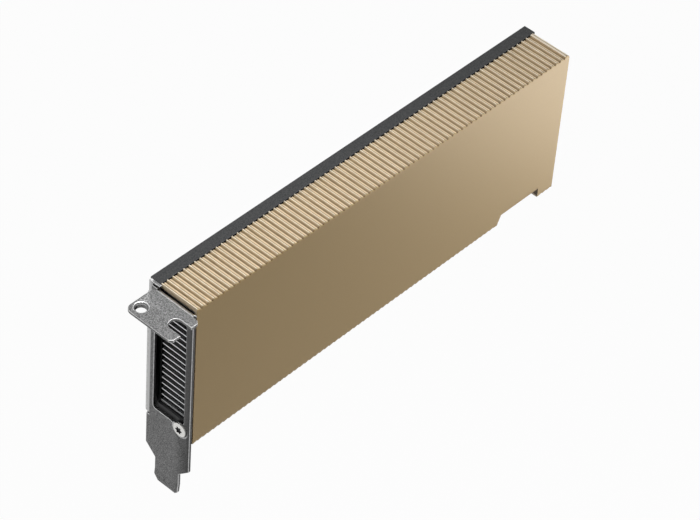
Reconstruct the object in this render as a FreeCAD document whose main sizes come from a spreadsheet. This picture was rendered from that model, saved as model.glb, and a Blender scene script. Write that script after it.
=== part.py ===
"""Passive accelerator card: single-slot, low-profile, cooled by the air of the server.

Lengths are in millimetres. While a piece is drawn, +X runs from the bracket to the
tail with zero on the inner face of the bracket plate, +Y runs from the components to
the solder side with zero on the outer face of the back plate, and +Z runs up from the
edge connector with zero on the top of the rail. Every piece is then moved so that the
origin of the part lies on the underside of the bracket's tab, beside its screw slot.
"""
import FreeCAD, Part
import math
import os
import re

import Sketcher

Vector = FreeCAD.Vector

SIZES = {
    # Envelope of the cover and the back plate
    "tail_end": 166.0,
    "card_depth": 18.9,
    "cover_height": 57.2,
    "cover_start": 0.3,
    "cover_wall": 0.9,
    "cover_flange": 1.65,
    "cover_clearance": 0.5,
    "rail_width": 4.3,
    "rail_thickness": 1.2,
    "rail_start": 0.1,
    "rail_gap": 0.3,
    "back_thickness": 1.0,
    "film_thickness": 0.15,
    "film_margin": 0.6,
    # Ridges of the cover, seen along the card
    "ridge_pitch": 2.209,
    "ridge_height": 0.95,
    "low_ridge_height": 0.35,
    "crest_width": 0.42,
    "crest_drop": 0.42,
    "step_run": 0.2,
    "step_width": 1.0,
    "step_slope": 0.14,
    "cut_overrun": 0.2,
    "tail_bevel": 0.9,
    # Notch over the slot latch, in the cover's lower edge
    "notch_start": 138.8,
    "notch_lean": 1.6,
    "notch_end": 158.8,
    "notch_rise": 3.6,
    # Circuit board with its edge connector
    "board_start": 1.2,
    "board_end": 164.8,
    "board_top": 1.5,
    "board_height": 68.9,
    "board_thickness": 1.57,
    "solder_room": 2.67,
    "tongue_height": 8.25,
    "tongue_start": 51.9,
    "tongue_length": 84.9,
    "tongue_bevel": 0.9,
    "key_offset": 11.65,
    "key_width": 1.9,
    "key_depth": 7.4,
    "hook_gap": 3.6,
    "hook_length": 4.6,
    "hook_height": 5.2,
    "hook_barb": 1.4,
    "contact_pitch": 1.0,
    "contact_width": 0.7,
    "contact_length": 4.3,
    "contact_thickness": 0.05,
    "contact_lift": 1.3,
    "contact_margin": 0.05,
    "contacts_before_key": 11,
    "contacts_after_key": 71,
    # Processor package
    "gpu_x": 78.0,
    "gpu_drop": 30.0,
    "substrate_side": 37.5,
    "substrate_thickness": 1.6,
    "stiffener_width": 3.6,
    "stiffener_thickness": 0.6,
    "die_length": 19.0,
    "die_height": 15.6,
    "die_thickness": 0.8,
    "paste_thickness": 0.1,
    # Heat sink
    "base_start": 16.5,
    "base_end": 150.5,
    "base_top": 6.4,
    "base_height": 47.2,
    "base_thickness": 2.0,
    "pedestal_height": 0.2,
    "pedestal_margin": 1.0,
    "fin_start": 0.9,
    "fin_end": 164.6,
    "fin_pitch": 2.4,
    "fin_thickness": 0.4,
    "fin_count": 20,
    "lowest_fin": 48.4,
    "lowest_fin_thickness": 0.8,
    "fin_floor": 0.4,
    "fin_skin": 0.3,
    "fin_clearance": 0.2,
    "wing_length": 6.6,
    "wing_clearance": 0.6,
    # Memory, on both faces of the board
    "memory_length": 12.0,
    "memory_height": 14.0,
    "memory_thickness": 1.2,
    "memory_pitch": 15.4,
    "memory_offset": 30.0,
    "pad_inset": 0.6,
    # Power stages, inductors and capacitors
    "inductor_x": 129.0,
    "inductor_side": 6.5,
    "inductor_thickness": 4.2,
    "power_pitch": 7.3,
    "power_top": 12.0,
    "power_count": 6,
    "inductor_clearance": 1.0,
    "stage_x": 137.6,
    "stage_length": 5.0,
    "stage_height": 6.0,
    "stage_thickness": 1.0,
    "capacitor_x": 145.0,
    "capacitor_length": 4.3,
    "capacitor_height": 6.6,
    "capacitor_thickness": 2.0,
    # Controllers between the bracket and the memory
    "controller_x": 26.0,
    "controller_side": 7.0,
    "controller_thickness": 0.9,
    "controller_pitch": 12.0,
    "controller_count": 3,
    "ceramic_length": 2.0,
    "ceramic_height": 1.25,
    "ceramic_thickness": 1.2,
    "ceramic_pitch": 3.0,
    "ceramic_count": 12,
    # Spring and screws that press the heat sink on the processor
    "spring_span_x": 30.0,
    "spring_span_z": 42.6,
    "spring_width": 6.4,
    "spring_thickness": 0.8,
    "spring_window": 16.0,
    "spring_land": 4.0,
    "standoff_width": 4.0,
    "spring_screw_radius": 0.9,
    "spring_head_radius": 2.2,
    "spring_head_thickness": 0.7,
    "window_margin": 3.6,
    "decoupler_length": 1.0,
    "decoupler_height": 0.5,
    "decoupler_pitch": 2.6,
    "decoupler_count": 5,
    # Cover screws, which pass the back plate and the board into the cover's posts
    "post_width": 4.4,
    "post_clearance": 0.5,
    "screw_radius": 0.9,
    "screw_clearance": 0.12,
    "screw_head_radius": 1.9,
    "screw_head_depth": 0.7,
    "screw_reach": 8.3,
    "screw_end_gap": 1.0,
    "post_front": 12.0,
    "post_tail": 156.5,
    "post_high_drop": 5.0,
    "post_low_drop": 51.4,
    "post_tail_drop": 47.4,
    # Mounting bracket
    "bracket_thickness": 1.0,
    "plate_width": 18.42,
    "plate_left": 0.4,
    "plate_bottom": 68.8,
    "shoulder_run": 4.11,
    "shoulder_drop": 4.0,
    "tongue_width": 10.2,
    "bracket_bottom": 81.7,
    "flare_height": 4.2,
    "flare_lean": 0.45,
    "tongue_corner": 1.8,
    "tongue_nick": 0.9,
    "ear_left": 0.5,
    "ear_width": 4.4,
    "ear_lip": 0.5,
    "ear_neck": 1.6,
    "relief_depth": 0.8,
    "relief_height": 1.0,
    "relief_slit": 0.3,
    "tab_drop": 1.0,
    "tab_bend": 2.0,
    "tab_reach": 13.55,
    "tab_left": 3.3,
    "tab_right": 22.4,
    "tab_corner": 2.4,
    "tab_chamfer": 1.0,
    "bend_left": 4.2,
    "bend_right": 19.2,
    "slot_x": 7.55,
    "slot_width": 4.42,
    "slot_end": 18.25,
    "seat_offset": 5.45,
    "tab_hole_x": 9.95,
    "tab_hole_y": 6.5,
    "tab_hole_radius": 1.75,
    "tab_hole_bevel": 0.5,
    "collar_wall": 0.7,
    "collar_height": 1.0,
    "vent_left": 3.2,
    "vent_right": 16.2,
    "vent_top": 6.2,
    "vent_bottom": 51.7,
    "vent_corner": 1.1,
    "flap_top": 6.2,
    "flap_bottom": 55.3,
    "flap_bend": 1.9,
    "flap_reach": 8.0,
    "flap_screw_x": 4.8,
    "flap_screw_drop": 29.0,
    "flap_screw_short": 0.2,
    # Block that the bracket's lower screw holds
    "bracket_screw_y": 14.7,
    "bracket_screw_drop": 52.7,
    "bracket_head_radius": 2.55,
    "bracket_head_thickness": 0.9,
    "bracket_screw_radius": 1.25,
    "bracket_screw_length": 6.0,
    "bracket_recess_radius": 3.1,
    "bracket_recess_depth": 0.3,
    "bracket_land": 4.3,
    "block_length": 7.4,
    "block_top": 49.5,
    "block_height": 5.6,
    "block_width": 13.2,
    "block_screw_x": 4.4,
    "block_screw_reach": 7.0,
}

document = FreeCAD.newDocument("AcceleratorCard")
sheet = document.addObject("Spreadsheet::Sheet", "Sizes")
for row, (name, number) in enumerate(SIZES.items(), start=1):
    sheet.set(f"A{row}", name)
    sheet.set(f"B{row}", str(number))
    sheet.setAlias(f"B{row}", name)
document.recompute()

PARTS = []
SIZE_NAMES = re.compile(r"\b(" + "|".join(SIZES) + r")\b")


def link(text):
    """Give an expression with every size name pointed at the sheet."""
    return SIZE_NAMES.sub(r"Sizes.\1", text)


def amount(text):
    """Give the value of an expression in millimetres."""
    return float(sheet.evalExpression(link(text)))


def bind(thing, path, text):
    """Tie one property of an object to the sheet."""
    thing.setExpression(path, link(text))


def place(thing):
    """Move a finished piece so that the part's origin is on the seat of the tab."""
    bind(thing, "Placement.Base.x", "slot_x")
    bind(thing, "Placement.Base.y", "slot_end - seat_offset")
    bind(thing, "Placement.Base.z", "tab_drop + bracket_thickness")


def new_body(name):
    """Start a piece whose label names its file."""
    body = document.addObject("PartDesign::Body", name)
    body.Label = name
    place(body)
    PARTS.append(body)
    return body


def new_sketch(body, role, name, offset):
    """Attach a sketch to one of the body's own planes, at an offset along its normal."""
    sketch = body.newObject("Sketcher::SketchObject", name)
    planes = [item for item in body.Origin.OriginFeatures if item.Role == role]
    sketch.AttachmentSupport = [(planes[0], "")]
    sketch.MapMode = "FlatFace"
    bind(sketch, "AttachmentOffset.Base.z", offset)
    return sketch


def pin(sketch, line, end, across, upward):
    """Hold one end of a line at a place that the sheet gives."""
    for kind, text in (("DistanceX", across), ("DistanceY", upward)):
        rule = Sketcher.Constraint(kind, -1, 1, line, end, amount(text))
        index = sketch.addConstraint(rule)
        bind(sketch, f"Constraints[{index}]", text)


def draw_outline(sketch, points):
    """Draw a closed outline through pinned corners.

    A corner is (across, upward). A corner (across, upward, radius, side) starts an arc
    of that radius to the next corner, which bulges to the left (1) or right (-1).
    """
    spots = [Vector(amount(point[0]), amount(point[1]), 0) for point in points]
    lines = []
    for index, point in enumerate(points):
        start = spots[index]
        finish = spots[(index + 1) % len(points)]
        if len(point) == 2:
            edge = Part.LineSegment(start, finish)
            lines.append((sketch.addGeometry(edge), 1, 2, None))
            continue
        radius = amount(point[2])
        chord = finish - start
        normal = Vector(-chord.y, chord.x, 0).normalize()
        rise = math.sqrt(max(radius ** 2 - chord.Length ** 2 / 4, 0.0))
        centre = (start + finish) / 2 - normal * rise * point[3]
        middle = centre + normal * radius * point[3]
        edge = Part.Arc(start, middle, finish)
        first, last = (2, 1) if point[3] > 0 else (1, 2)
        lines.append((sketch.addGeometry(edge), first, last, point[2]))
    for index, (line, first, last, radius) in enumerate(lines):
        following = lines[(index + 1) % len(lines)]
        sketch.addConstraint(Sketcher.Constraint("Coincident", line, last, following[0], following[1]))
        pin(sketch, line, first, points[index][0], points[index][1])
        if radius:
            rule = sketch.addConstraint(Sketcher.Constraint("Radius", line, amount(radius)))
            bind(sketch, f"Constraints[{rule}]", radius)


def draw_rectangle(sketch, left, right, low, high):
    """Draw a rectangle between four named places."""
    draw_outline(sketch, [(left, low), (right, low), (right, high), (left, high)])


def draw_centred(sketch, half, rise):
    """Draw a rectangle round the processor's centre, from its half length and half height."""
    draw_rectangle(sketch, f"gpu_x - ({half})", f"gpu_x + ({half})",
                   f"-gpu_drop - ({rise})", f"-gpu_drop + ({rise})")


def draw_circle(sketch, across, upward, radius):
    """Draw a circle with its centre and radius tied to the sheet."""
    centre = Vector(amount(across), amount(upward), 0)
    ring = sketch.addGeometry(Part.Circle(centre, Vector(0, 0, 1), amount(radius)))
    pin(sketch, ring, 3, across, upward)
    rule = sketch.addConstraint(Sketcher.Constraint("Radius", ring, amount(radius)))
    bind(sketch, f"Constraints[{rule}]", radius)


def draw_hexagon(sketch, across, upward, width):
    """Draw a hexagon of a width across its flats, with two corners level with its centre."""
    corners = []
    for side, lift in ((1, 0), (0.5, 1), (-0.5, 1), (-1, 0), (-0.5, -1), (0.5, -1)):
        corners.append((f"{across} + {side} * {width} / sqrt(3)", f"{upward} + {lift} * {width} / 2"))
    draw_outline(sketch, corners)


def pad(body, sketch, name, length):
    """Fill a sketch along its plane's normal."""
    feature = body.newObject("PartDesign::Pad", name)
    feature.Profile = sketch
    bind(feature, "Length", length)
    sketch.Visibility = False
    return feature


def pocket(body, sketch, name, length):
    """Cut a sketch along its plane's normal, and make sure that it cuts something."""
    document.recompute()
    before = body.Shape.Volume
    feature = body.newObject("PartDesign::Pocket", name)
    feature.Profile = sketch
    feature.Reversed = True
    bind(feature, "Length", length)
    document.recompute()
    if body.Shape.Volume > before - 1e-6:
        raise RuntimeError(f"{name} cuts nothing")
    return feature


def repeat_along(body, feature, role, name, pitch, count):
    """Repeat a feature along one of the body's axes."""
    pattern = body.newObject("PartDesign::LinearPattern", name)
    pattern.Originals = [feature]
    axes = [item for item in body.Origin.OriginFeatures if item.Role == role]
    pattern.Direction = (axes[0], [""])
    pattern.Mode = "Spacing"
    bind(pattern, "Offset", pitch)
    bind(pattern, "Occurrences", count)
    body.Tip = pattern
    document.recompute()
    return pattern


def bevel_circle(body, feature, name, radius, level, size):
    """Bevel the horizontal round edge that has this radius and lies at this level."""
    wanted = []
    for number, edge in enumerate(feature.Shape.Edges, start=1):
        if not isinstance(edge.Curve, Part.Circle):
            continue
        right_size = abs(edge.Curve.Radius - amount(radius)) < 1e-6
        right_level = abs(edge.BoundBox.ZMin - amount(level)) < 1e-6 and edge.BoundBox.ZLength < 1e-6
        if right_size and right_level:
            wanted.append(f"Edge{number}")
    bevel = body.newObject("PartDesign::Chamfer", name)
    bevel.Base = (feature, wanted)
    bind(bevel, "Size", size)
    document.recompute()


def solid_group(name, shapes):
    """Keep like pieces, each a solid of its own, as one named group."""
    group = document.addObject("Part::Feature", name)
    group.Label = name
    group.Shape = Part.makeCompound(shapes)
    place(group)
    PARTS.append(group)


def blocks(name, across, upward, seat, length, height, thickness):
    """Make a group of like blocks on the board's component face (thickness above the
    seat) or on its solder face (thickness below the seat, given as negative)."""
    near = min(-seat, -seat - thickness)
    shapes = []
    for x in across:
        for z in upward:
            corner = Vector(x - length / 2, near, z - height / 2)
            shapes.append(Part.makeBox(length, abs(thickness), height, corner))
    solid_group(name, shapes)


# Levels through the card, from the back plate's outer face to the gold face
BOARD_FACE = "solder_room + board_thickness"
GPU_TOP = BOARD_FACE + " + substrate_thickness"
DIE_TOP = GPU_TOP + " + die_thickness"
BASE_SEAT = DIE_TOP + " + paste_thickness + pedestal_height"
FIN_SEAT = BASE_SEAT + " + base_thickness"
COVER_INSIDE = "card_depth - cover_wall"
FIN_TOP = COVER_INSIDE + " - fin_clearance"
BOARD_SHOULDER = "board_top + board_height - tongue_height"

POSTS = [
    ("post_front", "post_high_drop"),
    ("post_front", "post_low_drop"),
    ("post_tail", "post_high_drop"),
    ("post_tail", "post_tail_drop"),
]
SPRING_SCREWS = [
    (f"gpu_x {side} spring_span_x / 2", f"gpu_drop {level} spring_span_z / 2")
    for side in ("-", "+")
    for level in ("-", "+")
]


def ridge_cut(body, name, start, level, turn):
    """Cut the groove beside one ridge: a crest, a shallow step and a sharp valley.

    The groove opens upward when turn is a plus sign. When it is a minus sign the groove
    opens downward and slopes straight from its crest to a shallow valley.
    """
    sketch = new_sketch(body, "XZ_Plane", name + "_profile", "rail_width + rail_gap")
    inward = "-" if turn == "+" else "+"
    above = f"{level} {turn} cut_overrun"
    step = f"{start} + crest_width + step_run"
    valley = "ridge_height" if turn == "+" else "low_ridge_height"
    outline = [
        (f"{start} + crest_width", above),
        (f"{start} + crest_width", level),
        (step, f"{level} {inward} crest_drop"),
        (f"{step} + step_width", f"{level} {inward} (crest_drop + step_slope)"),
        (f"{start} + ridge_pitch - step_run", f"{level} {inward} {valley}"),
        (f"{start} + ridge_pitch", level),
        (f"{start} + ridge_pitch", above),
    ]
    if turn == "-":
        del outline[2:4]
    draw_outline(sketch, outline)
    return pocket(body, sketch, name, "card_depth - rail_width - rail_gap")


def cover_outline(inset):
    """Give the cover's side view, with the notch over the slot latch, at an inset.

    The channel, cut at an inset, is open at both ends.
    """
    start = "cover_start" if inset == "0" else "cover_start - cut_overrun"
    finish = "tail_end" if inset == "0" else "tail_end + cut_overrun"
    low = f"-cover_height + {inset}"
    return [
        (start, f"-{inset}"),
        (start, low),
        (f"notch_start - {inset} / 2", low),
        (f"notch_start + notch_lean - {inset} / 2", f"{low} + notch_rise"),
        (f"notch_end + {inset}", f"{low} + notch_rise"),
        (f"notch_end + {inset}", low),
        (finish, low),
        (finish, f"-{inset}"),
    ]


def make_ridged_cover():
    """Channel-shaped cover: a plain face, ridged flanges, and posts for its screws."""
    body = new_body("ridged_cover")
    edge = "rail_width + rail_gap"
    outer = new_sketch(body, "XZ_Plane", "cover_side", edge)
    draw_outline(outer, cover_outline("0"))
    pad(body, outer, "cover_block", f"card_depth - ({edge})")
    top = ridge_cut(body, "top_groove", "cover_start", "0", "+")
    run = "(tail_end - tail_bevel - cover_start) / ridge_pitch"
    repeat_along(body, top, "X_Axis", "top_grooves", "ridge_pitch", f"floor({run})")
    low = ridge_cut(body, "low_groove", "cover_start", "-cover_height", "-")
    run = "(notch_start - cover_start) / ridge_pitch"
    repeat_along(body, low, "X_Axis", "low_grooves", "ridge_pitch", f"floor({run})")
    foot = ridge_cut(body, "foot_groove", "notch_end + crest_width", "-cover_height", "-")
    run = "(tail_end - notch_end - crest_width) / ridge_pitch"
    repeat_along(body, foot, "X_Axis", "foot_grooves", "ridge_pitch", f"floor({run})")
    bevel = new_sketch(body, "XZ_Plane", "bevel_side", edge)
    corner = [
        ("tail_end - tail_bevel", "cut_overrun"),
        ("tail_end - tail_bevel", "0"),
        ("tail_end", "-tail_bevel"),
        ("tail_end + cut_overrun", "-tail_bevel"),
        ("tail_end + cut_overrun", "cut_overrun"),
    ]
    draw_outline(bevel, corner)
    pocket(body, bevel, "tail_bevel_cut", f"card_depth - ({edge})")
    inner = new_sketch(body, "XZ_Plane", "channel_side", edge)
    draw_outline(inner, cover_outline("cover_flange"))
    pocket(body, inner, "channel", f"{COVER_INSIDE} - ({edge})")
    posts = new_sketch(body, "XZ_Plane", "post_rings", BOARD_FACE)
    for x, drop in POSTS:
        draw_hexagon(posts, x, f"-{drop}", "post_width")
    pad(body, posts, "posts", f"{COVER_INSIDE} - ({BOARD_FACE})")
    holes = new_sketch(body, "XZ_Plane", "post_holes", BOARD_FACE)
    for x, drop in POSTS:
        draw_circle(holes, x, f"-({drop})", "screw_radius + screw_clearance")
    pocket(body, holes, "threaded_holes", f"screw_reach + screw_end_gap - ({BOARD_FACE})")


def make_back_plate():
    """Back plate folded over the board's upper edge, where it forms the dark rail."""
    body = new_body("back_plate")
    side = new_sketch(body, "XZ_Plane", "plate_side", "0")
    outline = [
        ("rail_start", "0"),
        ("rail_start", "-flap_top + relief_depth"),
        ("flap_bend - bracket_thickness + rail_start", "-flap_top + relief_depth"),
        ("flap_bend - bracket_thickness + rail_start", "-cover_height"),
        ("tail_end", "-cover_height"),
        ("tail_end", "0"),
    ]
    draw_outline(side, outline)
    pad(body, side, "plate", "back_thickness")
    rail = new_sketch(body, "XZ_Plane", "rail_side", "0")
    draw_rectangle(rail, "rail_start", "tail_end", "-rail_thickness", "0")
    pad(body, rail, "rail", "rail_width")
    lands = new_sketch(body, "XZ_Plane", "spacer_shapes", "back_thickness")
    for x, drop in POSTS:
        draw_hexagon(lands, x, f"-{drop}", "post_width")
    pad(body, lands, "spacers", "solder_room - back_thickness")
    window = new_sketch(body, "XZ_Plane", "spring_window", "0")
    draw_centred(window, "spring_span_x / 2 + window_margin", "spring_span_z / 2 + window_margin")
    pocket(body, window, "window", "back_thickness")
    holes = new_sketch(body, "XZ_Plane", "screw_holes", "0")
    for x, drop in POSTS + [("flap_screw_x", "flap_screw_drop")]:
        draw_circle(holes, x, f"-{drop}", "screw_radius + screw_clearance")
    pocket(body, holes, "screw_passages", "solder_room")


def make_insulating_film():
    """Film that keeps the solder side off the back plate."""
    body = new_body("insulating_film")
    side = new_sketch(body, "XZ_Plane", "film_side", "back_thickness")
    beside = "post_width / sqrt(3) + post_clearance"
    draw_rectangle(side, f"post_front + {beside}", f"post_tail - ({beside})",
                   "-cover_height + film_margin", "-rail_thickness - film_margin")
    pad(body, side, "film", "film_thickness")
    windows = new_sketch(body, "XZ_Plane", "film_windows", "back_thickness")
    draw_centred(windows, "spring_span_x / 2 + window_margin + film_margin",
                 "spring_span_z / 2 + window_margin + film_margin")
    half = "(memory_length / 2 + film_margin)"
    rise = "(memory_pitch + memory_height / 2 + film_margin)"
    for side in ("-", "+"):
        centre = f"gpu_x {side} memory_offset"
        draw_rectangle(windows, f"{centre} - {half}", f"{centre} + {half}",
                       f"-gpu_drop - {rise}", f"-gpu_drop + {rise}")
    pocket(body, windows, "film_cutouts", "film_thickness")


def make_circuit_board():
    """Circuit board with its edge connector, key, latch hook and screw holes."""
    body = new_body("circuit_board")
    side = new_sketch(body, "XZ_Plane", "board_side", "solder_room")
    shoulder = f"-({BOARD_SHOULDER})"
    tip = "-board_top - board_height"
    key = "tongue_start + key_offset"
    finish = "tongue_start + tongue_length"
    hook = f"{finish} + hook_gap"
    outline = [
        ("board_start", "-board_top"),
        ("board_start", shoulder),
        ("tongue_start", shoulder),
        ("tongue_start", tip),
        (key, tip),
        (key, f"{tip} + key_depth"),
        (f"{key} + key_width", f"{tip} + key_depth"),
        (f"{key} + key_width", tip),
        (finish, tip),
        (finish, shoulder),
        (hook, shoulder),
        (hook, f"{shoulder} - hook_height + hook_barb"),
        (f"{hook} - hook_barb", f"{shoulder} - hook_height + hook_barb / 2"),
        (hook, f"{shoulder} - hook_height"),
        (f"{hook} + hook_length", f"{shoulder} - hook_height"),
        (f"{hook} + hook_length", shoulder),
        ("board_end", shoulder),
        ("board_end", "-board_top"),
    ]
    draw_outline(side, outline)
    pad(body, side, "board", "board_thickness")
    for place_name, face, lean in (("solder", "solder_room", "-"), ("component", BOARD_FACE, "+")):
        bevel = new_sketch(body, "YZ_Plane", place_name + "_bevel", "tongue_start")
        level = f"-({face})"
        corner = [
            (level, f"{tip} + 2 * tongue_bevel"),
            (f"{level} {lean} tongue_bevel / 2", tip),
            (level, tip),
        ]
        draw_outline(bevel, corner)
        pocket(body, bevel, place_name + "_bevel_cut", "tongue_length")
    holes = new_sketch(body, "XZ_Plane", "board_holes", "solder_room")
    for x, drop in POSTS + SPRING_SCREWS:
        draw_circle(holes, x, f"-({drop})", "screw_radius + screw_clearance")
    draw_circle(holes, "block_screw_x", "-bracket_screw_drop", "screw_radius + screw_clearance")
    pocket(body, holes, "board_passages", "board_thickness")


def make_edge_contacts():
    """Gold contacts in a row on each face of the edge connector."""
    pitch = amount("contact_pitch")
    low = amount("-board_top - board_height + contact_lift + tongue_bevel")
    size = (amount("contact_width"), amount("contact_thickness"), amount("contact_length"))
    first = amount("tongue_start + key_offset - contact_margin - contact_pitch * contacts_before_key")
    second = amount("tongue_start + key_offset + key_width + contact_margin")
    starts = [first + pitch * index for index in range(int(amount("contacts_before_key")))]
    starts += [second + pitch * index for index in range(int(amount("contacts_after_key")))]
    shapes = []
    for level in (-amount("solder_room"), -amount(BOARD_FACE) - size[1]):
        for start in starts:
            shapes.append(Part.makeBox(size[0], size[1], size[2], Vector(start, level, low)))
    solid_group("edge_contacts", shapes)


def make_plain_block(name, offset, length, height, thickness):
    """Make one rectangular piece centred on the processor."""
    body = new_body(name)
    side = new_sketch(body, "XZ_Plane", name + "_side", offset)
    draw_centred(side, f"{length} / 2", f"{height} / 2")
    pad(body, side, name + "_pad", thickness)
    return body


def make_processor():
    """Processor: substrate, stiffening frame, die and the thermal paste on it."""
    wide = "substrate_side"
    make_plain_block("gpu_substrate", BOARD_FACE, wide, wide, "substrate_thickness")
    frame = make_plain_block("gpu_stiffener", GPU_TOP, wide, wide, "stiffener_thickness")
    hole = new_sketch(frame, "XZ_Plane", "frame_window", GPU_TOP)
    draw_centred(hole, "substrate_side / 2 - stiffener_width", "substrate_side / 2 - stiffener_width")
    pocket(frame, hole, "frame_opening", "stiffener_thickness")
    make_plain_block("gpu_die", GPU_TOP, "die_length", "die_height", "die_thickness")
    make_plain_block("thermal_paste", DIE_TOP, "die_length", "die_height", "paste_thickness")


def make_heat_sink_base():
    """Vapour chamber: a flat plate with a pedestal, standoffs and an inductor window."""
    body = new_body("heat_sink_base")
    side = new_sketch(body, "XZ_Plane", "base_side", BASE_SEAT)
    low = "-base_top - base_height"
    over_notch = "-cover_height + notch_rise + cover_flange + cover_clearance"
    outline = [
        ("base_start", "-base_top"),
        ("base_start", low),
        ("notch_start - cover_flange - cover_clearance", low),
        ("notch_start - cover_flange - cover_clearance", over_notch),
        ("base_end", over_notch),
        ("base_end", "-base_top"),
    ]
    draw_outline(side, outline)
    pad(body, side, "base_plate", "base_thickness")
    step = new_sketch(body, "XZ_Plane", "pedestal_side", f"{BASE_SEAT} - pedestal_height")
    draw_centred(step, "die_length / 2 + pedestal_margin", "die_height / 2 + pedestal_margin")
    pad(body, step, "pedestal", "pedestal_height")
    rings = new_sketch(body, "XZ_Plane", "standoff_rings", BOARD_FACE)
    for x, drop in SPRING_SCREWS:
        draw_hexagon(rings, x, f"-({drop})", "standoff_width")
    pad(body, rings, "standoffs", f"{BASE_SEAT} - ({BOARD_FACE})")
    bores = new_sketch(body, "XZ_Plane", "standoff_bores", BOARD_FACE)
    for x, drop in SPRING_SCREWS:
        draw_circle(bores, x, f"-({drop})", "spring_screw_radius + screw_clearance")
    pocket(body, bores, "standoff_holes", f"{BASE_SEAT} - ({BOARD_FACE}) + base_thickness / 2")
    window = new_sketch(body, "XZ_Plane", "inductor_window", BASE_SEAT)
    half = "(inductor_side / 2 + inductor_clearance)"
    reach = "(power_pitch * (power_count - 1))"
    draw_rectangle(window, f"inductor_x - {half}", f"inductor_x + {half}",
                   f"-power_top - {reach} - {half}", f"-power_top + {half}")
    pocket(body, window, "inductor_opening", "base_thickness")


def make_fin_stack():
    """Folded fins along the card, joined by a floor on the base and an outer skin."""
    body = new_body("fin_stack")
    high = "-lowest_fin + fin_pitch * (fin_count - 1) + fin_thickness / 2"
    low = "-lowest_fin - lowest_fin_thickness + fin_thickness / 2"
    wing = "wing_length + fin_start"
    near = f"-({BOARD_FACE} + wing_clearance)"
    profile = [
        ("fin_start", f"-({FIN_TOP})"),
        ("fin_end", f"-({FIN_TOP})"),
        ("fin_end", f"-({FIN_SEAT})"),
        (wing, f"-({FIN_SEAT})"),
        (wing, near),
        ("fin_start", near),
    ]
    lowest = new_sketch(body, "XY_Plane", "lowest_fin_shape", low)
    draw_outline(lowest, profile)
    pad(body, lowest, "lowest_fin", "lowest_fin_thickness")
    shape = new_sketch(body, "XY_Plane", "fin_shape", "-lowest_fin + fin_pitch - fin_thickness / 2")
    draw_outline(shape, profile)
    fin = pad(body, shape, "fin", "fin_thickness")
    fin_skin = new_sketch(body, "XZ_Plane", "skin_side", f"{FIN_TOP} - fin_skin")
    draw_rectangle(fin_skin, "fin_start", "fin_end", low, high)
    pad(body, fin_skin, "skin", "fin_skin")
    floor = new_sketch(body, "XZ_Plane", "floor_side", FIN_SEAT)
    draw_rectangle(floor, "base_start", "base_end", low, high)
    pad(body, floor, "floor", "fin_floor")
    document.recompute()
    repeat_along(body, fin, "Z_Axis", "fins", "fin_pitch", "fin_count - 1")
    holes = new_sketch(body, "XZ_Plane", "post_rings", BOARD_FACE)
    for x, drop in POSTS:
        draw_hexagon(holes, x, f"-{drop}", "(post_width + 2 * post_clearance)")
    pocket(body, holes, "post_passages", "card_depth")


def make_board_pieces():
    """Memory, power and control pieces on the board, with their thermal pads."""
    face = amount(BOARD_FACE)
    back = amount("solder_room")
    gpu_x, gpu_z = amount("gpu_x"), -amount("gpu_drop")
    columns = [gpu_x - amount("memory_offset"), gpu_x + amount("memory_offset")]
    rows = [gpu_z + amount("memory_pitch") * step for step in (-1, 0, 1)]
    length, height = amount("memory_length"), amount("memory_height")
    chip = amount("memory_thickness")
    inset = 2 * amount("pad_inset")
    blocks("memory_chips_front", columns, rows, face, length, height, chip)
    blocks("memory_chips_back", columns, rows, back, length, height, -chip)
    gap = amount(BASE_SEAT) - face - chip
    blocks("memory_pads_front", columns, rows, face + chip, length - inset, height - inset, gap)
    gap = back - chip - amount("back_thickness")
    blocks("memory_pads_back", columns, rows, back - chip, length - inset, height - inset, -gap)

    pitch = amount("power_pitch")
    levels = [-amount("power_top") - pitch * index for index in range(int(amount("power_count")))]
    side = amount("inductor_side")
    tall = amount("inductor_thickness")
    blocks("power_inductors", [amount("inductor_x")], levels, face, side, side, tall)
    gap = amount(FIN_SEAT) - face - tall
    wide = side - inset
    blocks("inductor_pads", [amount("inductor_x")], levels, face + tall, wide, wide, gap)
    length, height = amount("stage_length"), amount("stage_height")
    thickness = amount("stage_thickness")
    column = [amount("stage_x")]
    blocks("power_stages", column, levels, face, length, height, thickness)
    gap = amount(BASE_SEAT) - face - thickness
    top = face + thickness
    blocks("power_stage_pads", column, levels, top, length - inset, height - inset, gap)
    blocks("bulk_capacitors", [amount("capacitor_x")], levels, face,
           amount("capacitor_length"), amount("capacitor_height"), amount("capacitor_thickness"))

    pitch = amount("controller_pitch")
    count = int(amount("controller_count"))
    levels = [gpu_z + pitch * (index - (count - 1) / 2) for index in range(count)]
    side = amount("controller_side")
    thickness = amount("controller_thickness")
    blocks("controller_chips", [amount("controller_x")], levels, face, side, side, thickness)
    pitch = amount("ceramic_pitch")
    count = int(amount("ceramic_count"))
    levels = [gpu_z + pitch * (index - (count - 1) / 2) for index in range(count)]
    beside = amount("controller_x + controller_side / 2 + ceramic_length")
    blocks("ceramic_capacitors", [beside], levels, face, amount("ceramic_length"),
           amount("ceramic_height"), amount("ceramic_thickness"))
    pitch = amount("decoupler_pitch")
    count = int(amount("decoupler_count"))
    steps = [pitch * (index - (count - 1) / 2) for index in range(count)]
    blocks("back_capacitors", [gpu_x + step for step in steps], [gpu_z + step for step in steps], back,
           amount("decoupler_length"), amount("decoupler_height"), -amount("decoupler_height"))


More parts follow.
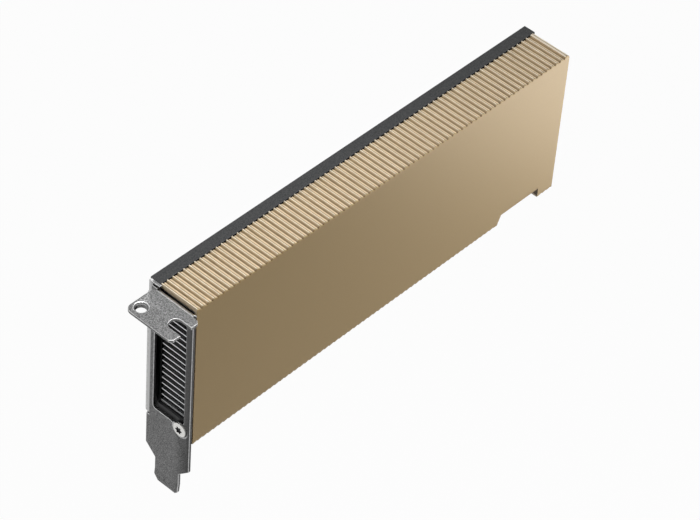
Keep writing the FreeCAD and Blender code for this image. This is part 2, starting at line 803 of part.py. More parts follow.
def make_retention_spring():
    """Cross-shaped leaf spring on the solder side, behind the processor."""
    body = new_body("retention_spring")
    side = new_sketch(body, "XZ_Plane", "spring_side", "solder_room - spring_thickness")
    half_x, half_z = "spring_span_x / 2", "spring_span_z / 2"
    arm, ring = "spring_width / 2", "(spring_window / 2 + spring_land)"
    outline = []
    for sign_x, sign_z in (("-", "-"), ("+", "-"), ("+", "+"), ("-", "+")):
        edge = f"gpu_x {sign_x} ({half_x} + {arm})"
        inner = f"gpu_x {sign_x} ({half_x} - {arm})"
        outer_z = f"-gpu_drop {sign_z} ({half_z} + {arm})"
        inner_z = f"-gpu_drop {sign_z} {ring}"
        points = [(edge, inner_z), (edge, outer_z), (inner, outer_z), (inner, inner_z)]
        outline += points if sign_x == sign_z else points[::-1]
    draw_outline(side, outline)
    pad(body, side, "spring", "spring_thickness")
    window = new_sketch(body, "XZ_Plane", "spring_opening", "solder_room - spring_thickness")
    draw_centred(window, "spring_window / 2", "spring_window / 2")
    pocket(body, window, "spring_cutout", "spring_thickness")
    holes = new_sketch(body, "XZ_Plane", "spring_holes", "solder_room - spring_thickness")
    for x, drop in SPRING_SCREWS:
        draw_circle(holes, x, f"-({drop})", "spring_screw_radius + screw_clearance")
    pocket(body, holes, "spring_passages", "spring_thickness")


def screw(spot, direction, head_radius, head_depth, radius, length):
    """Make one screw: a round head at the spot and a six-sided shank below it."""
    head = Part.makeCylinder(head_radius, head_depth, spot, direction)
    across = direction.cross(Vector(0, 0, 1)) * radius
    upward = Vector(0, 0, radius)
    turns = [math.radians(60 * step) for step in range(7)]
    ring = [spot + across * math.cos(turn) + upward * math.sin(turn) for turn in turns]
    shank = Part.Face(Part.makePolygon(ring)).extrude(direction * length)
    return head.fuse(shank).removeSplitter()


def make_screws():
    """Fasteners, each group by where it goes."""
    inward = Vector(0, -1, 0)
    depth = amount("screw_head_depth")
    wide, thin = amount("screw_head_radius"), amount("screw_radius")
    shapes = []
    for x, drop in POSTS:
        spot = Vector(amount(x), depth, -amount(drop))
        shapes.append(screw(spot, inward, wide, depth, thin, amount("screw_reach") + depth))
    solid_group("cover_screws", shapes)

    shapes = []
    head = amount("spring_head_thickness")
    top = amount("spring_thickness + spring_head_thickness - solder_room")
    reach = amount(f"{BASE_SEAT} - solder_room + spring_thickness") + head
    for x, drop in SPRING_SCREWS:
        spot = Vector(amount(x), top, -amount(drop))
        shapes.append(screw(spot, inward, amount("spring_head_radius"), head,
                            amount("spring_screw_radius"), reach))
    solid_group("spring_screws", shapes)

    spot = Vector(amount("flap_screw_x"), amount("bracket_thickness"), -amount("flap_screw_drop"))
    length = amount("bracket_thickness + back_thickness - flap_screw_short")
    solid_group("flap_screw", [screw(spot, inward, wide, depth, thin, length)])

    spot = Vector(amount("block_screw_x"), -amount("solder_room") + depth, -amount("bracket_screw_drop"))
    reach = amount("block_screw_reach")
    solid_group("block_screw", [screw(spot, inward, wide, depth, thin, reach)])

    thickness = amount("bracket_head_thickness")
    front = amount("bracket_recess_depth - bracket_thickness") - thickness
    spot = Vector(front, -amount("bracket_screw_y"), -amount("bracket_screw_drop"))
    length = amount("bracket_screw_length")
    solid_group("bracket_screw", [screw(spot, Vector(1, 0, 0), amount("bracket_head_radius"), thickness,
                                        amount("bracket_screw_radius"), length)])


def make_bracket_block():
    """Threaded block between the board and the lower end of the bracket."""
    body = new_body("bracket_block")
    side = new_sketch(body, "XZ_Plane", "block_side", BOARD_FACE)
    draw_rectangle(side, "0", "block_length", "-block_top - block_height", "-block_top")
    pad(body, side, "block", "block_width")
    bore = new_sketch(body, "YZ_Plane", "front_bore", "0")
    draw_circle(bore, "-bracket_screw_y", "-bracket_screw_drop", "bracket_screw_radius + screw_clearance")
    pocket(body, bore, "front_thread", "bracket_screw_length")
    back = new_sketch(body, "XZ_Plane", "back_bore", BOARD_FACE)
    draw_circle(back, "block_screw_x", "-bracket_screw_drop", "screw_radius + screw_clearance")
    pocket(body, back, "back_thread", "block_screw_reach - board_thickness")


def make_mounting_bracket():
    """Bracket folded from one sheet: plate, tab, ear, side flap and slot tongue."""
    body = new_body("mounting_bracket")
    plate = new_sketch(body, "YZ_Plane", "plate_front", "-bracket_thickness")
    left = "-plate_left"
    right = "-plate_left - plate_width"
    tongue_left = "-plate_left - shoulder_run"
    tongue_right = f"{tongue_left} - tongue_width"
    fold = "-tab_drop - tab_bend"
    flap = "-(flap_bend - bracket_thickness)"
    ear_right = "-ear_left - ear_width"
    neck = "-ear_left - ear_neck"
    outline = [
        ("-ear_left", "0"),
        ("-ear_left", "-flap_top + relief_depth"),
        (f"{flap} - relief_depth", "-flap_top + relief_depth"),
        (f"{flap} - relief_depth", "-flap_top"),
        (flap, "-flap_top"),
        (flap, "-flap_bottom"),
        (f"{flap} - relief_depth", "-flap_bottom"),
        (f"{flap} - relief_depth", "-flap_bottom - relief_depth"),
        (left, "-flap_bottom - relief_depth"),
        (left, "-plate_bottom"),
        (tongue_left, "-plate_bottom - shoulder_drop"),
        (tongue_left, "-bracket_bottom + flare_height"),
        (tongue_right, "-bracket_bottom + flare_height"),
        (tongue_right, "-plate_bottom - shoulder_drop"),
        (right, "-plate_bottom"),
        (right, fold),
        ("-bend_left + relief_slit", fold),
        ("-bend_left + relief_slit", "-ear_lip - relief_height"),
        (neck, "-ear_lip - relief_height"),
        (neck, "-ear_lip"),
        (ear_right, "-ear_lip"),
        (ear_right, "0"),
    ]
    draw_outline(plate, outline)
    pad(body, plate, "plate", "bracket_thickness")

    bend = new_sketch(body, "XZ_Plane", "tab_bend_side", "bend_left")
    under = "-tab_drop - bracket_thickness"
    section = [
        ("-bracket_thickness", fold),
        ("0", fold, "tab_bend", -1),
        ("-tab_bend", "-tab_drop"),
        ("-tab_bend", under, "tab_bend - bracket_thickness", 1),
    ]
    draw_outline(bend, section)
    pad(body, bend, "tab_fold", "bend_right - bend_left")

    tab = new_sketch(body, "XY_Plane", "tab_shape", under)
    corner = "tab_reach - tab_corner"
    slot_out = "-slot_x - slot_width / 2"
    slot_in = "-slot_x + slot_width / 2"
    outline = [
        ("-tab_bend", "-tab_left"),
        (f"-({corner})", "-tab_left", "tab_corner", -1),
        ("-tab_reach", "-tab_left - tab_corner"),
        ("-tab_reach", "-tab_right + tab_chamfer"),
        ("-tab_reach + tab_chamfer", "-tab_right"),
        (slot_out, "-tab_right"),
        (slot_out, "-slot_end", "slot_width / 2", 1),
        ("-slot_x", "-slot_end + slot_width / 2", "slot_width / 2", 1),
        (slot_in, "-slot_end"),
        (slot_in, "-tab_right"),
        ("-tab_bend - tab_chamfer", "-tab_right"),
        ("-tab_bend", "-tab_right + tab_chamfer"),
    ]
    draw_outline(tab, outline)
    pad(body, tab, "tab", "bracket_thickness")
    collar = new_sketch(body, "XY_Plane", "collar_ring", f"{under} - collar_height")
    draw_circle(collar, "-tab_hole_x", "-tab_hole_y", "tab_hole_radius + collar_wall")
    pad(body, collar, "collar", "collar_height + bracket_thickness / 2")
    hole = new_sketch(body, "XY_Plane", "tab_hole_ring", f"{under} - collar_height")
    draw_circle(hole, "-tab_hole_x", "-tab_hole_y", "tab_hole_radius")
    bored = pocket(body, hole, "tab_hole", "collar_height + bracket_thickness")
    bevel_circle(body, bored, "tab_hole_lead", "tab_hole_radius", "-tab_drop", "tab_hole_bevel")

    side_flap = new_sketch(body, "XY_Plane", "flap_section", "-flap_bottom")
    bend_x = "flap_bend - bracket_thickness"
    section = [
        ("-bracket_thickness", flap, "flap_bend", 1),
        (bend_x, "bracket_thickness"),
        ("flap_reach", "bracket_thickness"),
        ("flap_reach", "0"),
        (bend_x, "0", "flap_bend - bracket_thickness", -1),
        ("0", flap),
    ]
    draw_outline(side_flap, section)
    pad(body, side_flap, "flap", "flap_bottom - flap_top")

    flare = new_sketch(body, "XZ_Plane", "flare_side", "plate_left + shoulder_run")
    section = [
        ("-bracket_thickness", "-bracket_bottom + flare_height"),
        ("0", "-bracket_bottom + flare_height"),
        ("-flare_lean", "-bracket_bottom"),
        ("-bracket_thickness - flare_lean", "-bracket_bottom"),
    ]
    draw_outline(flare, section)
    pad(body, flare, "flare", "tongue_width")
    corners = new_sketch(body, "YZ_Plane", "tongue_corners", "-bracket_thickness - 2 * flare_lean")
    nicks = (
        [(tongue_left, "-bracket_bottom"), (tongue_left, "-bracket_bottom + tongue_corner"),
         (f"{tongue_left} - tongue_corner", "-bracket_bottom")],
        [(tongue_right, "-bracket_bottom"), (tongue_right, "-bracket_bottom + tongue_nick"),
         (f"{tongue_right} + tongue_nick", "-bracket_bottom")],
    )
    for nick in nicks:
        draw_outline(corners, nick)
    pocket(body, corners, "tongue_trim", "bracket_thickness + 3 * flare_lean")

    vent = new_sketch(body, "YZ_Plane", "vent_shape", "-bracket_thickness")
    rise = "(bracket_screw_drop - vent_bottom)"
    radius = "bracket_land"
    half = f"sqrt({radius} ^ 2 - {rise} ^ 2)"
    side_rise = f"sqrt({radius} ^ 2 - (vent_right - bracket_screw_y) ^ 2)"
    outline = [
        ("-vent_left", "-vent_top"),
        ("-vent_left", "-vent_bottom + vent_corner", "vent_corner", 1),
        ("-vent_left - vent_corner", "-vent_bottom"),
        (f"-bracket_screw_y + {half}", "-vent_bottom", radius, 1),
        ("-vent_right", f"-bracket_screw_drop + {side_rise}"),
        ("-vent_right", "-vent_top"),
    ]
    draw_outline(vent, outline)
    pocket(body, vent, "vent", "bracket_thickness")
    recess = new_sketch(body, "YZ_Plane", "recess_ring", "-bracket_thickness")
    draw_circle(recess, "-bracket_screw_y", "-bracket_screw_drop", "bracket_recess_radius")
    pocket(body, recess, "screw_recess", "bracket_recess_depth")
    holes = new_sketch(body, "YZ_Plane", "bracket_hole", "-bracket_thickness")
    draw_circle(holes, "-bracket_screw_y", "-bracket_screw_drop", "bracket_screw_radius + screw_clearance")
    pocket(body, holes, "bracket_passage", "bracket_thickness")
    flap_hole = new_sketch(body, "XZ_Plane", "flap_hole", "-bracket_thickness")
    draw_circle(flap_hole, "flap_screw_x", "-flap_screw_drop", "screw_radius + screw_clearance")
    pocket(body, flap_hole, "flap_passage", "bracket_thickness")
    seat = new_sketch(body, "XZ_Plane", "flap_head_seat", "-bracket_thickness")
    draw_circle(seat, "flap_screw_x", "-flap_screw_drop", "screw_head_radius + screw_clearance")
    pocket(body, seat, "flap_sunk_head", "screw_head_depth")


make_mounting_bracket()
make_bracket_block()
make_ridged_cover()
make_back_plate()
make_insulating_film()
make_circuit_board()
make_edge_contacts()
make_processor()
make_heat_sink_base()
make_fin_stack()
make_board_pieces()
make_retention_spring()
make_screws()
document.recompute()

for item in document.Objects:
    if "Invalid" in item.State or "Error" in item.State:
        raise RuntimeError(f"{item.Label} did not compute")
os.makedirs("parts", exist_ok=True)
for piece in PARTS:
    if piece.Shape.isNull() or not piece.Shape.isValid():
        raise RuntimeError(f"{piece.Label} has no valid shape")
    piece.Shape.exportStep(f"parts/{piece.Label}.step")
    box = piece.Shape.BoundBox
    print(f"{piece.Label}: {len(piece.Shape.Solids)} solids, {piece.Shape.Volume:.1f} mm3, "
          f"{box.XLength:.2f} x {box.YLength:.2f} x {box.ZLength:.2f}")
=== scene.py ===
"""Looks of a passive accelerator card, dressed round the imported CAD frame.

The frame is in metres: +X runs from the bracket to the tail, +Y from the component side
to the solder side and +Z up from the edge connector. The file is laid out as an add-on
with one operator for each piece or group of like pieces, and is run as a script.
"""
import math

import bmesh
import bpy
import numpy as np
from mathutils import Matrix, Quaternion, Vector


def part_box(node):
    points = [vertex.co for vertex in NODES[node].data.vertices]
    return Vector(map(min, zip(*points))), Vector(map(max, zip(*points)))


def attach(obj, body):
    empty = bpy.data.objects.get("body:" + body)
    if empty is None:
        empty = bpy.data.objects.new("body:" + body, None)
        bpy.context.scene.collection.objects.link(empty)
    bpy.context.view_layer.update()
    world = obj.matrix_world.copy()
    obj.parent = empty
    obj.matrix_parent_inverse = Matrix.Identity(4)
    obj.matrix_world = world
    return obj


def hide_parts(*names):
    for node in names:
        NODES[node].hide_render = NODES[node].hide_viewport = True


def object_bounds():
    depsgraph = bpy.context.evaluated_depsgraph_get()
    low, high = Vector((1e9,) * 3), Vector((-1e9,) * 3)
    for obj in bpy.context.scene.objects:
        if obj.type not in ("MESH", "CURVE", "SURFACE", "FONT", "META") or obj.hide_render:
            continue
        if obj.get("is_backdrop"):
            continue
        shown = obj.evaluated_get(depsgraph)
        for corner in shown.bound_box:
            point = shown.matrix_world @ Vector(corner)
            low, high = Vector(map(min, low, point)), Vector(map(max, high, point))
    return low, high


bl_info = {
    "name": "Accelerator Card",
    "version": (1, 0, 0),
    "blender": (4, 5, 0),
    "location": "View3D > Sidebar > Card",
    "description": "Builds the surfaces, finishes and stage of a passive accelerator card",
    "category": "Object",
}

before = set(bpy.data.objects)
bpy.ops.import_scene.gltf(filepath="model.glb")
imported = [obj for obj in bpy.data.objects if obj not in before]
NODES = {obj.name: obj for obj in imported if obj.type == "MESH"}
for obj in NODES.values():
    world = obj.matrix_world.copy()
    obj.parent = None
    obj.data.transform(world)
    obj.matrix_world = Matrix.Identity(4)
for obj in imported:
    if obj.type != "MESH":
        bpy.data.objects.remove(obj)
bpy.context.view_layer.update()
ROOT = "root"
MM = 0.001

# Sizes and places in millimetres

HAIR = 0.01                 # parts two stations of a sharp corner, and allows for rounding
MERGE = 0.001               # distance within which a copy's doubled points are one
FOLD_START = 5.5            # along the card, where the tab ends and its fold starts
TONGUE_TOP = -60.0          # height just above the tongue's bent tip
FLAP_BOTTOM = -53.3         # height where the bracket's side flap ends
HIGHLIGHT_BAND_REACH = 2.8             # width of the plate's band of painted highlight by the flap's fold
BRACKET_BEVEL = 0.18
PLATE_BEVEL = 0.12
SPRING_BEVEL = 0.15
SCREW_HEAD_RADIUS = 1.9     # of the cover, flap and block screws
SCREW_HEAD_HEIGHT = 0.7
SCREW_SHANK_RADIUS = 0.85
SPRING_HEAD_RADIUS = 2.2
BRACKET_HEAD_HEIGHT = 0.9
BRACKET_SHANK_RADIUS = 1.2
TAIL_SCREW_RISE = 4.0       # from the lowest cover screw up to the low one at the tail
RECESS_LIP = 0.02           # depth of the bevel round a screw's recess
CAMERA_TARGET = (85.665, 3.667, -36.895)

# Fades from one tone to another: where each starts and ends, in millimetres

SKIN = (0.02, 0.2)          # in from the cover's face, from its blasted skin to the cut edges, whose paler tone is partly painted sheen
END_SKIN = (0.02, 0.1)      # in from the cover's end, from its end face in the ridges' pale tone, free of painted shade, to the ridges
CREST_HIGHLIGHT_FADE = (-0.3, -0.05)       # from the crest, from the ridge's tone to the crest's painted highlight
VALLEY_RISE = 0.05          # above the valley, where the groove's painted shade starts to fade
STEP_FALL = 0.12            # under the crest's drop, where it has faded
SEAM_SHADE_PLACE = 0.42           # behind the crest's edge, the middle of the dark seam of painted shade
SEAM_SHADE_FADE = (0.06, 0.18)         # from the seam's middle, from its painted shade to the ridge's tone
PLATE_SHADE_FADE = (3.6, 10.0)    # in from the bracket's component side, from painted shade to plain plate
PLATE_FRONT = (0.5, 0.9)    # past the fold's start, from the tab to the upright plate
PLATE_BACK = (3.0, 2.8)     # past the fold's start, from the flap behind the plate to it
HIGHLIGHT_BAND_EDGE = (0.0, 0.3)      # from the band's edge, from plain plate to painted highlight
FLAP_HIGHLIGHT_EDGE = (-0.2, 0.1)     # from the flap's lower end, from plain plate to painted highlight

# Roughness, counts, angles and shares

BLASTED_ROUGHNESS = 0.32
CUT_ROUGHNESS = 0.24
GRAIN_DETAIL = 3.0
GRAIN_EDGES = (0.38, 0.62)  # of a noise's values, where a grain's two tones are pure
BRUSHED = (0.05, 1.0, 1.0)  # scale of a grain that is drawn out along the card
SHARP_EDGE = 35.0           # degrees
FLAT_EDGE = 1.0             # degrees up to which two triangles lie in one flat face
SCREW_SHARP_EDGE = 40.0     # degrees
BEVEL_SEGMENTS = 2
FOLD_LEAN = (0.04, 0.999)   # X of a normal between a flat sheet's and an upright one's
EDGE_FACING = -0.9          # Y of a normal that looks to the component side
ARC_POINTS = 7              # along the cover's rounded edge
MEAN_POINTS = 9             # in the average that rounds a ridge
HEM = 1.3                   # ridge heights, from the rounded edge to the face's flat strip
POST_STEP = 15              # degrees between the points round a screw post
SCREW_TURNS = 48            # points round a screw
RECESS_LOBES = 6
RECESS_ROWS = 3             # rows of faces in a screw's recess, which take the painted shade

# Stage, in metres and watts

FLOOR_REACH = 6.0
DIRECT_SHARE = 0.97         # of the floor's white that glows, and so takes no shadow
ROOM_LIGHT = 0.05           # strength of the world's light on the card
SENSOR_WIDTH = 36.0         # millimetres
CLIP = (0.01, 50.0)
LAMPS = (                   # name, place, target, size, power and beam in degrees
    ("front_light", (0.08, 0.03, 0.50), (0.0, 0.0, 0.0), 0.2, 0.14, 60.0),
    ("top_light", (0.22, 0.06, 0.48), (0.04, 0.0, 0.0), 0.2, 0.16, 60.0),
    ("edge_light", (-0.30, 0.27, 0.43), (0.05, 0.0, -0.02), 0.3, 0.3, 180.0),
    ("tail_light", (0.49, -0.20, -0.18), (0.17, 0.0, -0.01), 0.3, 0.97, 180.0),
)


# Numbers and nodes


def in_millimetres(node):
    """Give the lowest and highest corner of a CAD node in millimetres."""
    low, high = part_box(node)
    return np.array(low) / MM, np.array(high) / MM


def linear(code):
    """Turn an sRGB hex colour into the linear colour that a shader takes."""
    parts = np.array([int(code[start:start + 2], 16) for start in (1, 3, 5)]) / 255
    values = np.where(parts <= 0.04045, parts / 12.92, ((parts + 0.055) / 1.055) ** 2.4)
    return (*values.tolist(), 1.0)


def per_grain(size):
    """Give the texture scale at which one grain measures this many millimetres."""
    return 1 / (size * MM)


def fade(place, reach):
    """Give the two ends of a fade, each at its own reach in millimetres from a place."""
    return {"From Min": (place + reach[0]) * MM, "From Max": (place + reach[1]) * MM}


def add_node(tree, kind, settings, links):
    """Add a node: settings go to its sockets or its own fields, links to its sockets. A
    link's source is a socket, or a node that stands for its first output."""
    node = tree.nodes.new("ShaderNode" + kind)
    for name, value in settings.items():
        if isinstance(name, int) or name in node.inputs:
            node.inputs[name].default_value = value
        else:
            setattr(node, name, value)
    for name, source in links.items():
        socket = source.outputs[0] if hasattr(source, "outputs") else source
        tree.links.new(socket, node.inputs[name])
    return node


def new_surface(name, settings):
    """Start a material, and give it with its tree, its shader and its object coordinates."""
    material = bpy.data.materials.new(name)
    material.use_nodes = True
    tree = material.node_tree
    tree.nodes.clear()
    shader = add_node(tree, "BsdfPrincipled", settings, {})
    add_node(tree, "OutputMaterial", {}, {"Surface": shader})
    place = add_node(tree, "TexCoord", {}, {}).outputs["Object"]
    return material, tree, shader, place


def grain(tree, shader, place, size, depth, low, high, channel="Base Color"):
    """Give a surface a fine grain: a noise of this size in millimetres drives its colour
    or roughness between two values, and a bump of this depth in millimetres."""
    noise = add_node(tree, "TexNoise", {"Scale": per_grain(size), "Detail": GRAIN_DETAIL},
                     {"Vector": place})
    if channel == "Base Color":
        spread = add_node(tree, "ValToRGB", {}, {"Fac": noise})
        for stop, position, tone in zip(spread.color_ramp.elements, GRAIN_EDGES, (low, high)):
            stop.position = position
            stop.color = linear(tone)
    else:
        spread = add_node(tree, "MapRange", {"To Min": low, "To Max": high}, {"Value": noise})
    tree.links.new(spread.outputs[0], shader.inputs[channel])
    bump = add_node(tree, "Bump", {"Strength": 1.0, "Distance": depth * MM}, {"Height": noise})
    tree.links.new(bump.outputs["Normal"], shader.inputs["Normal"])
    return noise


def grained_surface(name, settings, **grain_settings):
    """Make a material whose only pattern is its grain."""
    material, tree, shader, place = new_surface(name, settings)
    grain(tree, shader, place, **grain_settings)
    return material


# Finishes


def gold_anodised_aluminium(settings):
    """Aluminium, bead-blasted and anodised gold: the dyed skin scatters a warm gold, and
    its clear, softly blasted surface adds a broad white sheen that makes it champagne.
    The edges are cut after the blasting, so they are smoother; their paler tone is partly
    painted sheen, with a painted highlight on the crests and painted shade in the corners
    behind them and at the bottom of the grooves."""
    material, tree, shader, place = new_surface(
        "gold_anodised_aluminium", {"Metallic": 0.12, "Specular IOR Level": 0.35})
    noise = grain(tree, shader, place, size=0.18, depth=0.002,
                  low=settings.face_dark, high=settings.face_light)
    face = shader.inputs["Base Color"].links[0].from_socket
    axes = add_node(tree, "SeparateXYZ", {}, {"Vector": place})
    low, high = in_millimetres("ridged_cover")
    inward = add_node(tree, "MapRange", fade(low[1], SKIN), {"Value": axes.outputs["Y"]})
    both = add_node(tree, "MixRGB", {}, {
        "Fac": inward, "Color1": face,
        "Color2": ridge_tone_with_painted_light(tree, axes, noise, low, high, settings)})
    tree.links.new(both.outputs["Color"], shader.inputs["Base Color"])
    polish = add_node(tree, "MapRange", {"To Min": BLASTED_ROUGHNESS, "To Max": CUT_ROUGHNESS},
                      {"Value": inward})
    tree.links.new(polish.outputs["Result"], shader.inputs["Roughness"])
    return material


def ridge_tone_with_painted_light(tree, axes, noise, low, high, settings):
    """Mix the tone of the cover's cut edges: pale ridges, their tone partly painted sheen,
    a painted highlight along the crests, seams of painted shade in the corner behind
    each crest of the upper edge, painted shade at the bottom of the grooves and an end
    face that keeps the ridges' pale tone. The height is the distance from the middle of
    the cover, and the phase is the way along one pitch of the ridges."""
    crest = (high[2] - low[2]) / 2
    centred = add_node(tree, "Math", {"operation": "SUBTRACT", 1: (low[2] + crest) * MM},
                       {0: axes.outputs["Z"]})
    height = add_node(tree, "Math", {"operation": "ABSOLUTE"}, {0: centred})
    # The ridges' pale tone is partly painted sheen, with the grain between its two tones.
    ridge = add_node(tree, "MixRGB", {"Color1": linear(settings.ridge_dark_with_sheen),
                                      "Color2": linear(settings.ridge_light_with_sheen)}, {"Fac": noise})
    # Painted highlight: a paler tone along the crests.
    crest_highlight_mask = add_node(tree, "MapRange", fade(crest, CREST_HIGHLIGHT_FADE), {"Value": height})
    crest_highlight = add_node(tree, "MixRGB", {"Color2": linear(settings.crest_highlight)},
                     {"Fac": crest_highlight_mask, "Color1": ridge})

    # Painted shade: a dark seam behind each crest of the upper edge.
    run = add_node(tree, "Math", {"operation": "SUBTRACT", 1: low[0] * MM},
                   {0: axes.outputs["X"]})
    phase = add_node(tree, "Math", {"operation": "MODULO", 1: settings.ridge_pitch * MM},
                     {0: run})
    offset = add_node(tree, "Math", {"operation": "SUBTRACT",
                                     1: (settings.crest_width + SEAM_SHADE_PLACE) * MM}, {0: phase})
    distance = add_node(tree, "Math", {"operation": "ABSOLUTE"}, {0: offset})
    seam_shade_mask = add_node(tree, "MapRange", fade(0.0, SEAM_SHADE_FADE), {"Value": distance})
    seam_shaded = add_node(tree, "MixRGB", {"Color1": linear(settings.seam)},
                     {"Fac": seam_shade_mask, "Color2": crest_highlight})
    above = add_node(tree, "Math", {"operation": "GREATER_THAN", 1: 0.0}, {0: centred})
    top_seam_shaded = add_node(tree, "MixRGB", {}, {"Fac": above, "Color1": crest_highlight, "Color2": seam_shaded})

    # Painted shade: a darker tone at the bottom of the grooves.
    groove_shade_mask = add_node(
        tree, "MapRange",
        fade(crest, (VALLEY_RISE - settings.ridge_height, -settings.crest_drop - STEP_FALL)),
        {"Value": height})
    groove_shade = add_node(tree, "MixRGB", {"Color1": linear(settings.groove_shade)},
                      {"Fac": groove_shade_mask, "Color2": top_seam_shaded})
    # The end face keeps the ridges' pale tone, without the painted shade of the grooves.
    behind = add_node(tree, "MapRange", fade(low[0], END_SKIN), {"Value": axes.outputs["X"]})
    return add_node(tree, "MixRGB", {"Color1": linear(settings.ridge_light_with_sheen)},
                    {"Fac": behind, "Color2": groove_shade})


def satin_black_coat():
    """Black powder coat on sheet aluminium: satin, with a faint orange peel."""
    return grained_surface("satin_black_coat", {"Roughness": 0.4, "Specular IOR Level": 0.3},
                           size=0.35, depth=0.004, low="#1C1D1E", high="#3A3B3C")


def rail_edge_painted_shadow():
    """Painted shadow on the rail's edge beside the ridges, in the gap to the cover: a dead
    matt near black.
    """
    return grained_surface("rail_edge_painted_shadow", {"Roughness": 0.9, "Specular IOR Level": 0.05},
                           size=0.2, depth=0.002, low="#060606", high="#0C0C0C")


def nickel_plated_steel():
    """Textured steel sheet with dark nickel plate: grey, with a fine speckle of glints. The
    real grain is finer and is drawn 0.27 mm wide so that it shows. The upright plate has
    painted shade beside the cover, and a painted highlight in a band along its other
    side, by the flap's fold."""
    material, tree, shader, place = new_surface(
        "nickel_plated_steel", {"Metallic": 1.0, "Roughness": 0.38})
    grain(tree, shader, place, size=0.27, depth=0.02, low="#3C3C3C", high="#808080")
    speckle = shader.inputs["Base Color"].links[0].from_socket
    low, high = in_millimetres("mounting_bracket")
    x, y, z = add_node(tree, "SeparateXYZ", {}, {"Vector": place}).outputs
    # Painted shade: the upright plate darker beside the cover.
    across = add_node(tree, "MapRange", fade(low[1], PLATE_SHADE_FADE), {"Value": y})
    upright = add_node(tree, "MapRange", fade(FOLD_START, PLATE_FRONT), {"Value": x})
    plate_shade_tone = add_node(tree, "MixRGB", {"Color1": linear("#7A7A7A"), "Color2": linear("#FFFFFF")},
                    {"Fac": across})
    shaded_speckle = add_node(tree, "MixRGB", {"blend_type": "MULTIPLY"},
                     {"Fac": upright, "Color1": speckle, "Color2": plate_shade_tone})
    # Painted highlight: a bright band along the flap's fold.
    beside = add_node(tree, "MapRange", fade(high[1] - HIGHLIGHT_BAND_REACH, HIGHLIGHT_BAND_EDGE), {"Value": y})
    above = add_node(tree, "MapRange", fade(FLAP_BOTTOM, FLAP_HIGHLIGHT_EDGE), {"Value": z})
    band_highlight_span = add_node(tree, "Math", {"operation": "MULTIPLY"}, {0: beside, 1: above})
    on_plate = add_node(tree, "MapRange", fade(FOLD_START, PLATE_BACK), {"Value": x})
    band_highlight = add_node(tree, "Math", {"operation": "MULTIPLY"}, {0: band_highlight_span, 1: on_plate})
    plated = add_node(tree, "MixRGB", {"Color2": linear("#B4B4B4")},
                      {"Fac": band_highlight, "Color1": shaded_speckle})
    tree.links.new(plated.outputs["Color"], shader.inputs["Base Color"])
    return material


def nickel_edge_highlight():
    """Painted highlight along the bracket's edges and folds: smooth, bright nickel, a thin
    bright line.
    """
    return grained_surface("nickel_edge_highlight", {"Metallic": 1.0, "Roughness": 0.3},
                           size=0.5, depth=0.003, low="#9C9C9C", high="#BEBEBE")


def bright_nickel():
    """Smooth nickel plate on turned steel: bright, with crisp highlights."""
    return grained_surface(
        "bright_nickel", {"Metallic": 1.0, "Roughness": 0.22, "Base Color": linear("#D6D5D2")},
        size=0.6, depth=0.002, low=0.18, high=0.3, channel="Roughness")


def recess_painted_shade():
    """Painted shade in a screw's recess: matt and near black, so that the lobes read."""
    return grained_surface("recess_painted_shade", {"Roughness": 0.6},
                           size=0.2, depth=0.002, low="#18181A", high="#242426")


def rolled_aluminium():
    """Bare rolled aluminium fins: light grey, brushed along the card."""
    material, tree, shader, place = new_surface(
        "rolled_aluminium", {"Metallic": 1.0, "Roughness": 0.35})
    squeeze = add_node(tree, "Mapping", {"Scale": BRUSHED}, {"Vector": place})
    grain(tree, shader, squeeze, size=0.15, depth=0.002, low="#B9BABC", high="#DADBDC")
    return material


def block_painted_shade():
    """Milled aluminium, near black as painted shade: matt, so that it stays dark behind
    the vent.
    """
    return grained_surface("block_painted_shade", {"Roughness": 0.5},
                           size=0.25, depth=0.003, low="#161617", high="#1E1E20")


def nickel_plated_copper():
    """Nickel-plated copper: a warm, soft silver."""
    return grained_surface("nickel_plated_copper", {"Metallic": 1.0, "Roughness": 0.3},
                           size=0.5, depth=0.002, low="#B5B1AA", high="#C9C5BE")


def solder_mask():
    """Black solder mask over etched copper: glossy, with tracks standing proud. They are
    the bricks of a wall whose unit is 1 mm, turned to stand on the board."""
    material, tree, shader, place = new_surface(
        "solder_mask", {"Roughness": 0.32, "Coat Weight": 0.4, "Coat Roughness": 0.15})
    upright = add_node(tree, "Mapping", {"Rotation": (math.radians(90), 0, 0)},
                       {"Vector": place})
    tracks = add_node(
        tree, "TexBrick",
        {"Color1": linear("#0D120F"), "Color2": linear("#101612"), "Mortar": linear("#090C0A"),
         "Scale": per_grain(1.0), "Mortar Size": 0.12, "Mortar Smooth": 0.3,
         "Brick Width": 7.0, "Row Height": 0.8, "offset": 0.37},
        {"Vector": upright})
    tree.links.new(tracks.outputs["Color"], shader.inputs["Base Color"])
    bump = add_node(tree, "Bump", {"Strength": 0.6, "Distance": 0.03 * MM, "invert": True},
                    {"Height": tracks.outputs["Fac"]})
    tree.links.new(bump.outputs["Normal"], shader.inputs["Normal"])
    return material


def hard_gold_plate():
    """Hard gold plate on the edge contacts: smooth and bright."""
    return grained_surface(
        "hard_gold_plate", {"Metallic": 1.0, "Roughness": 0.22, "Base Color": linear("#E3B765")},
        size=0.4, depth=0.001, low=0.16, high=0.28, channel="Roughness")


def moulded_epoxy():
    """Black moulded epoxy of chip packages: matt, with a fine filler grain."""
    return grained_surface("moulded_epoxy", {"Roughness": 0.6},
                           size=0.12, depth=0.006, low="#1D1D1F", high="#2A2A2C")


def silicone_pad():
    """Soft thermal silicone pad: pale blue-grey and chalky."""
    return grained_surface("silicone_pad", {"Roughness": 0.75, "Subsurface Weight": 0.05},
                           size=0.25, depth=0.01, low="#8B97A2", high="#A3AEB8")


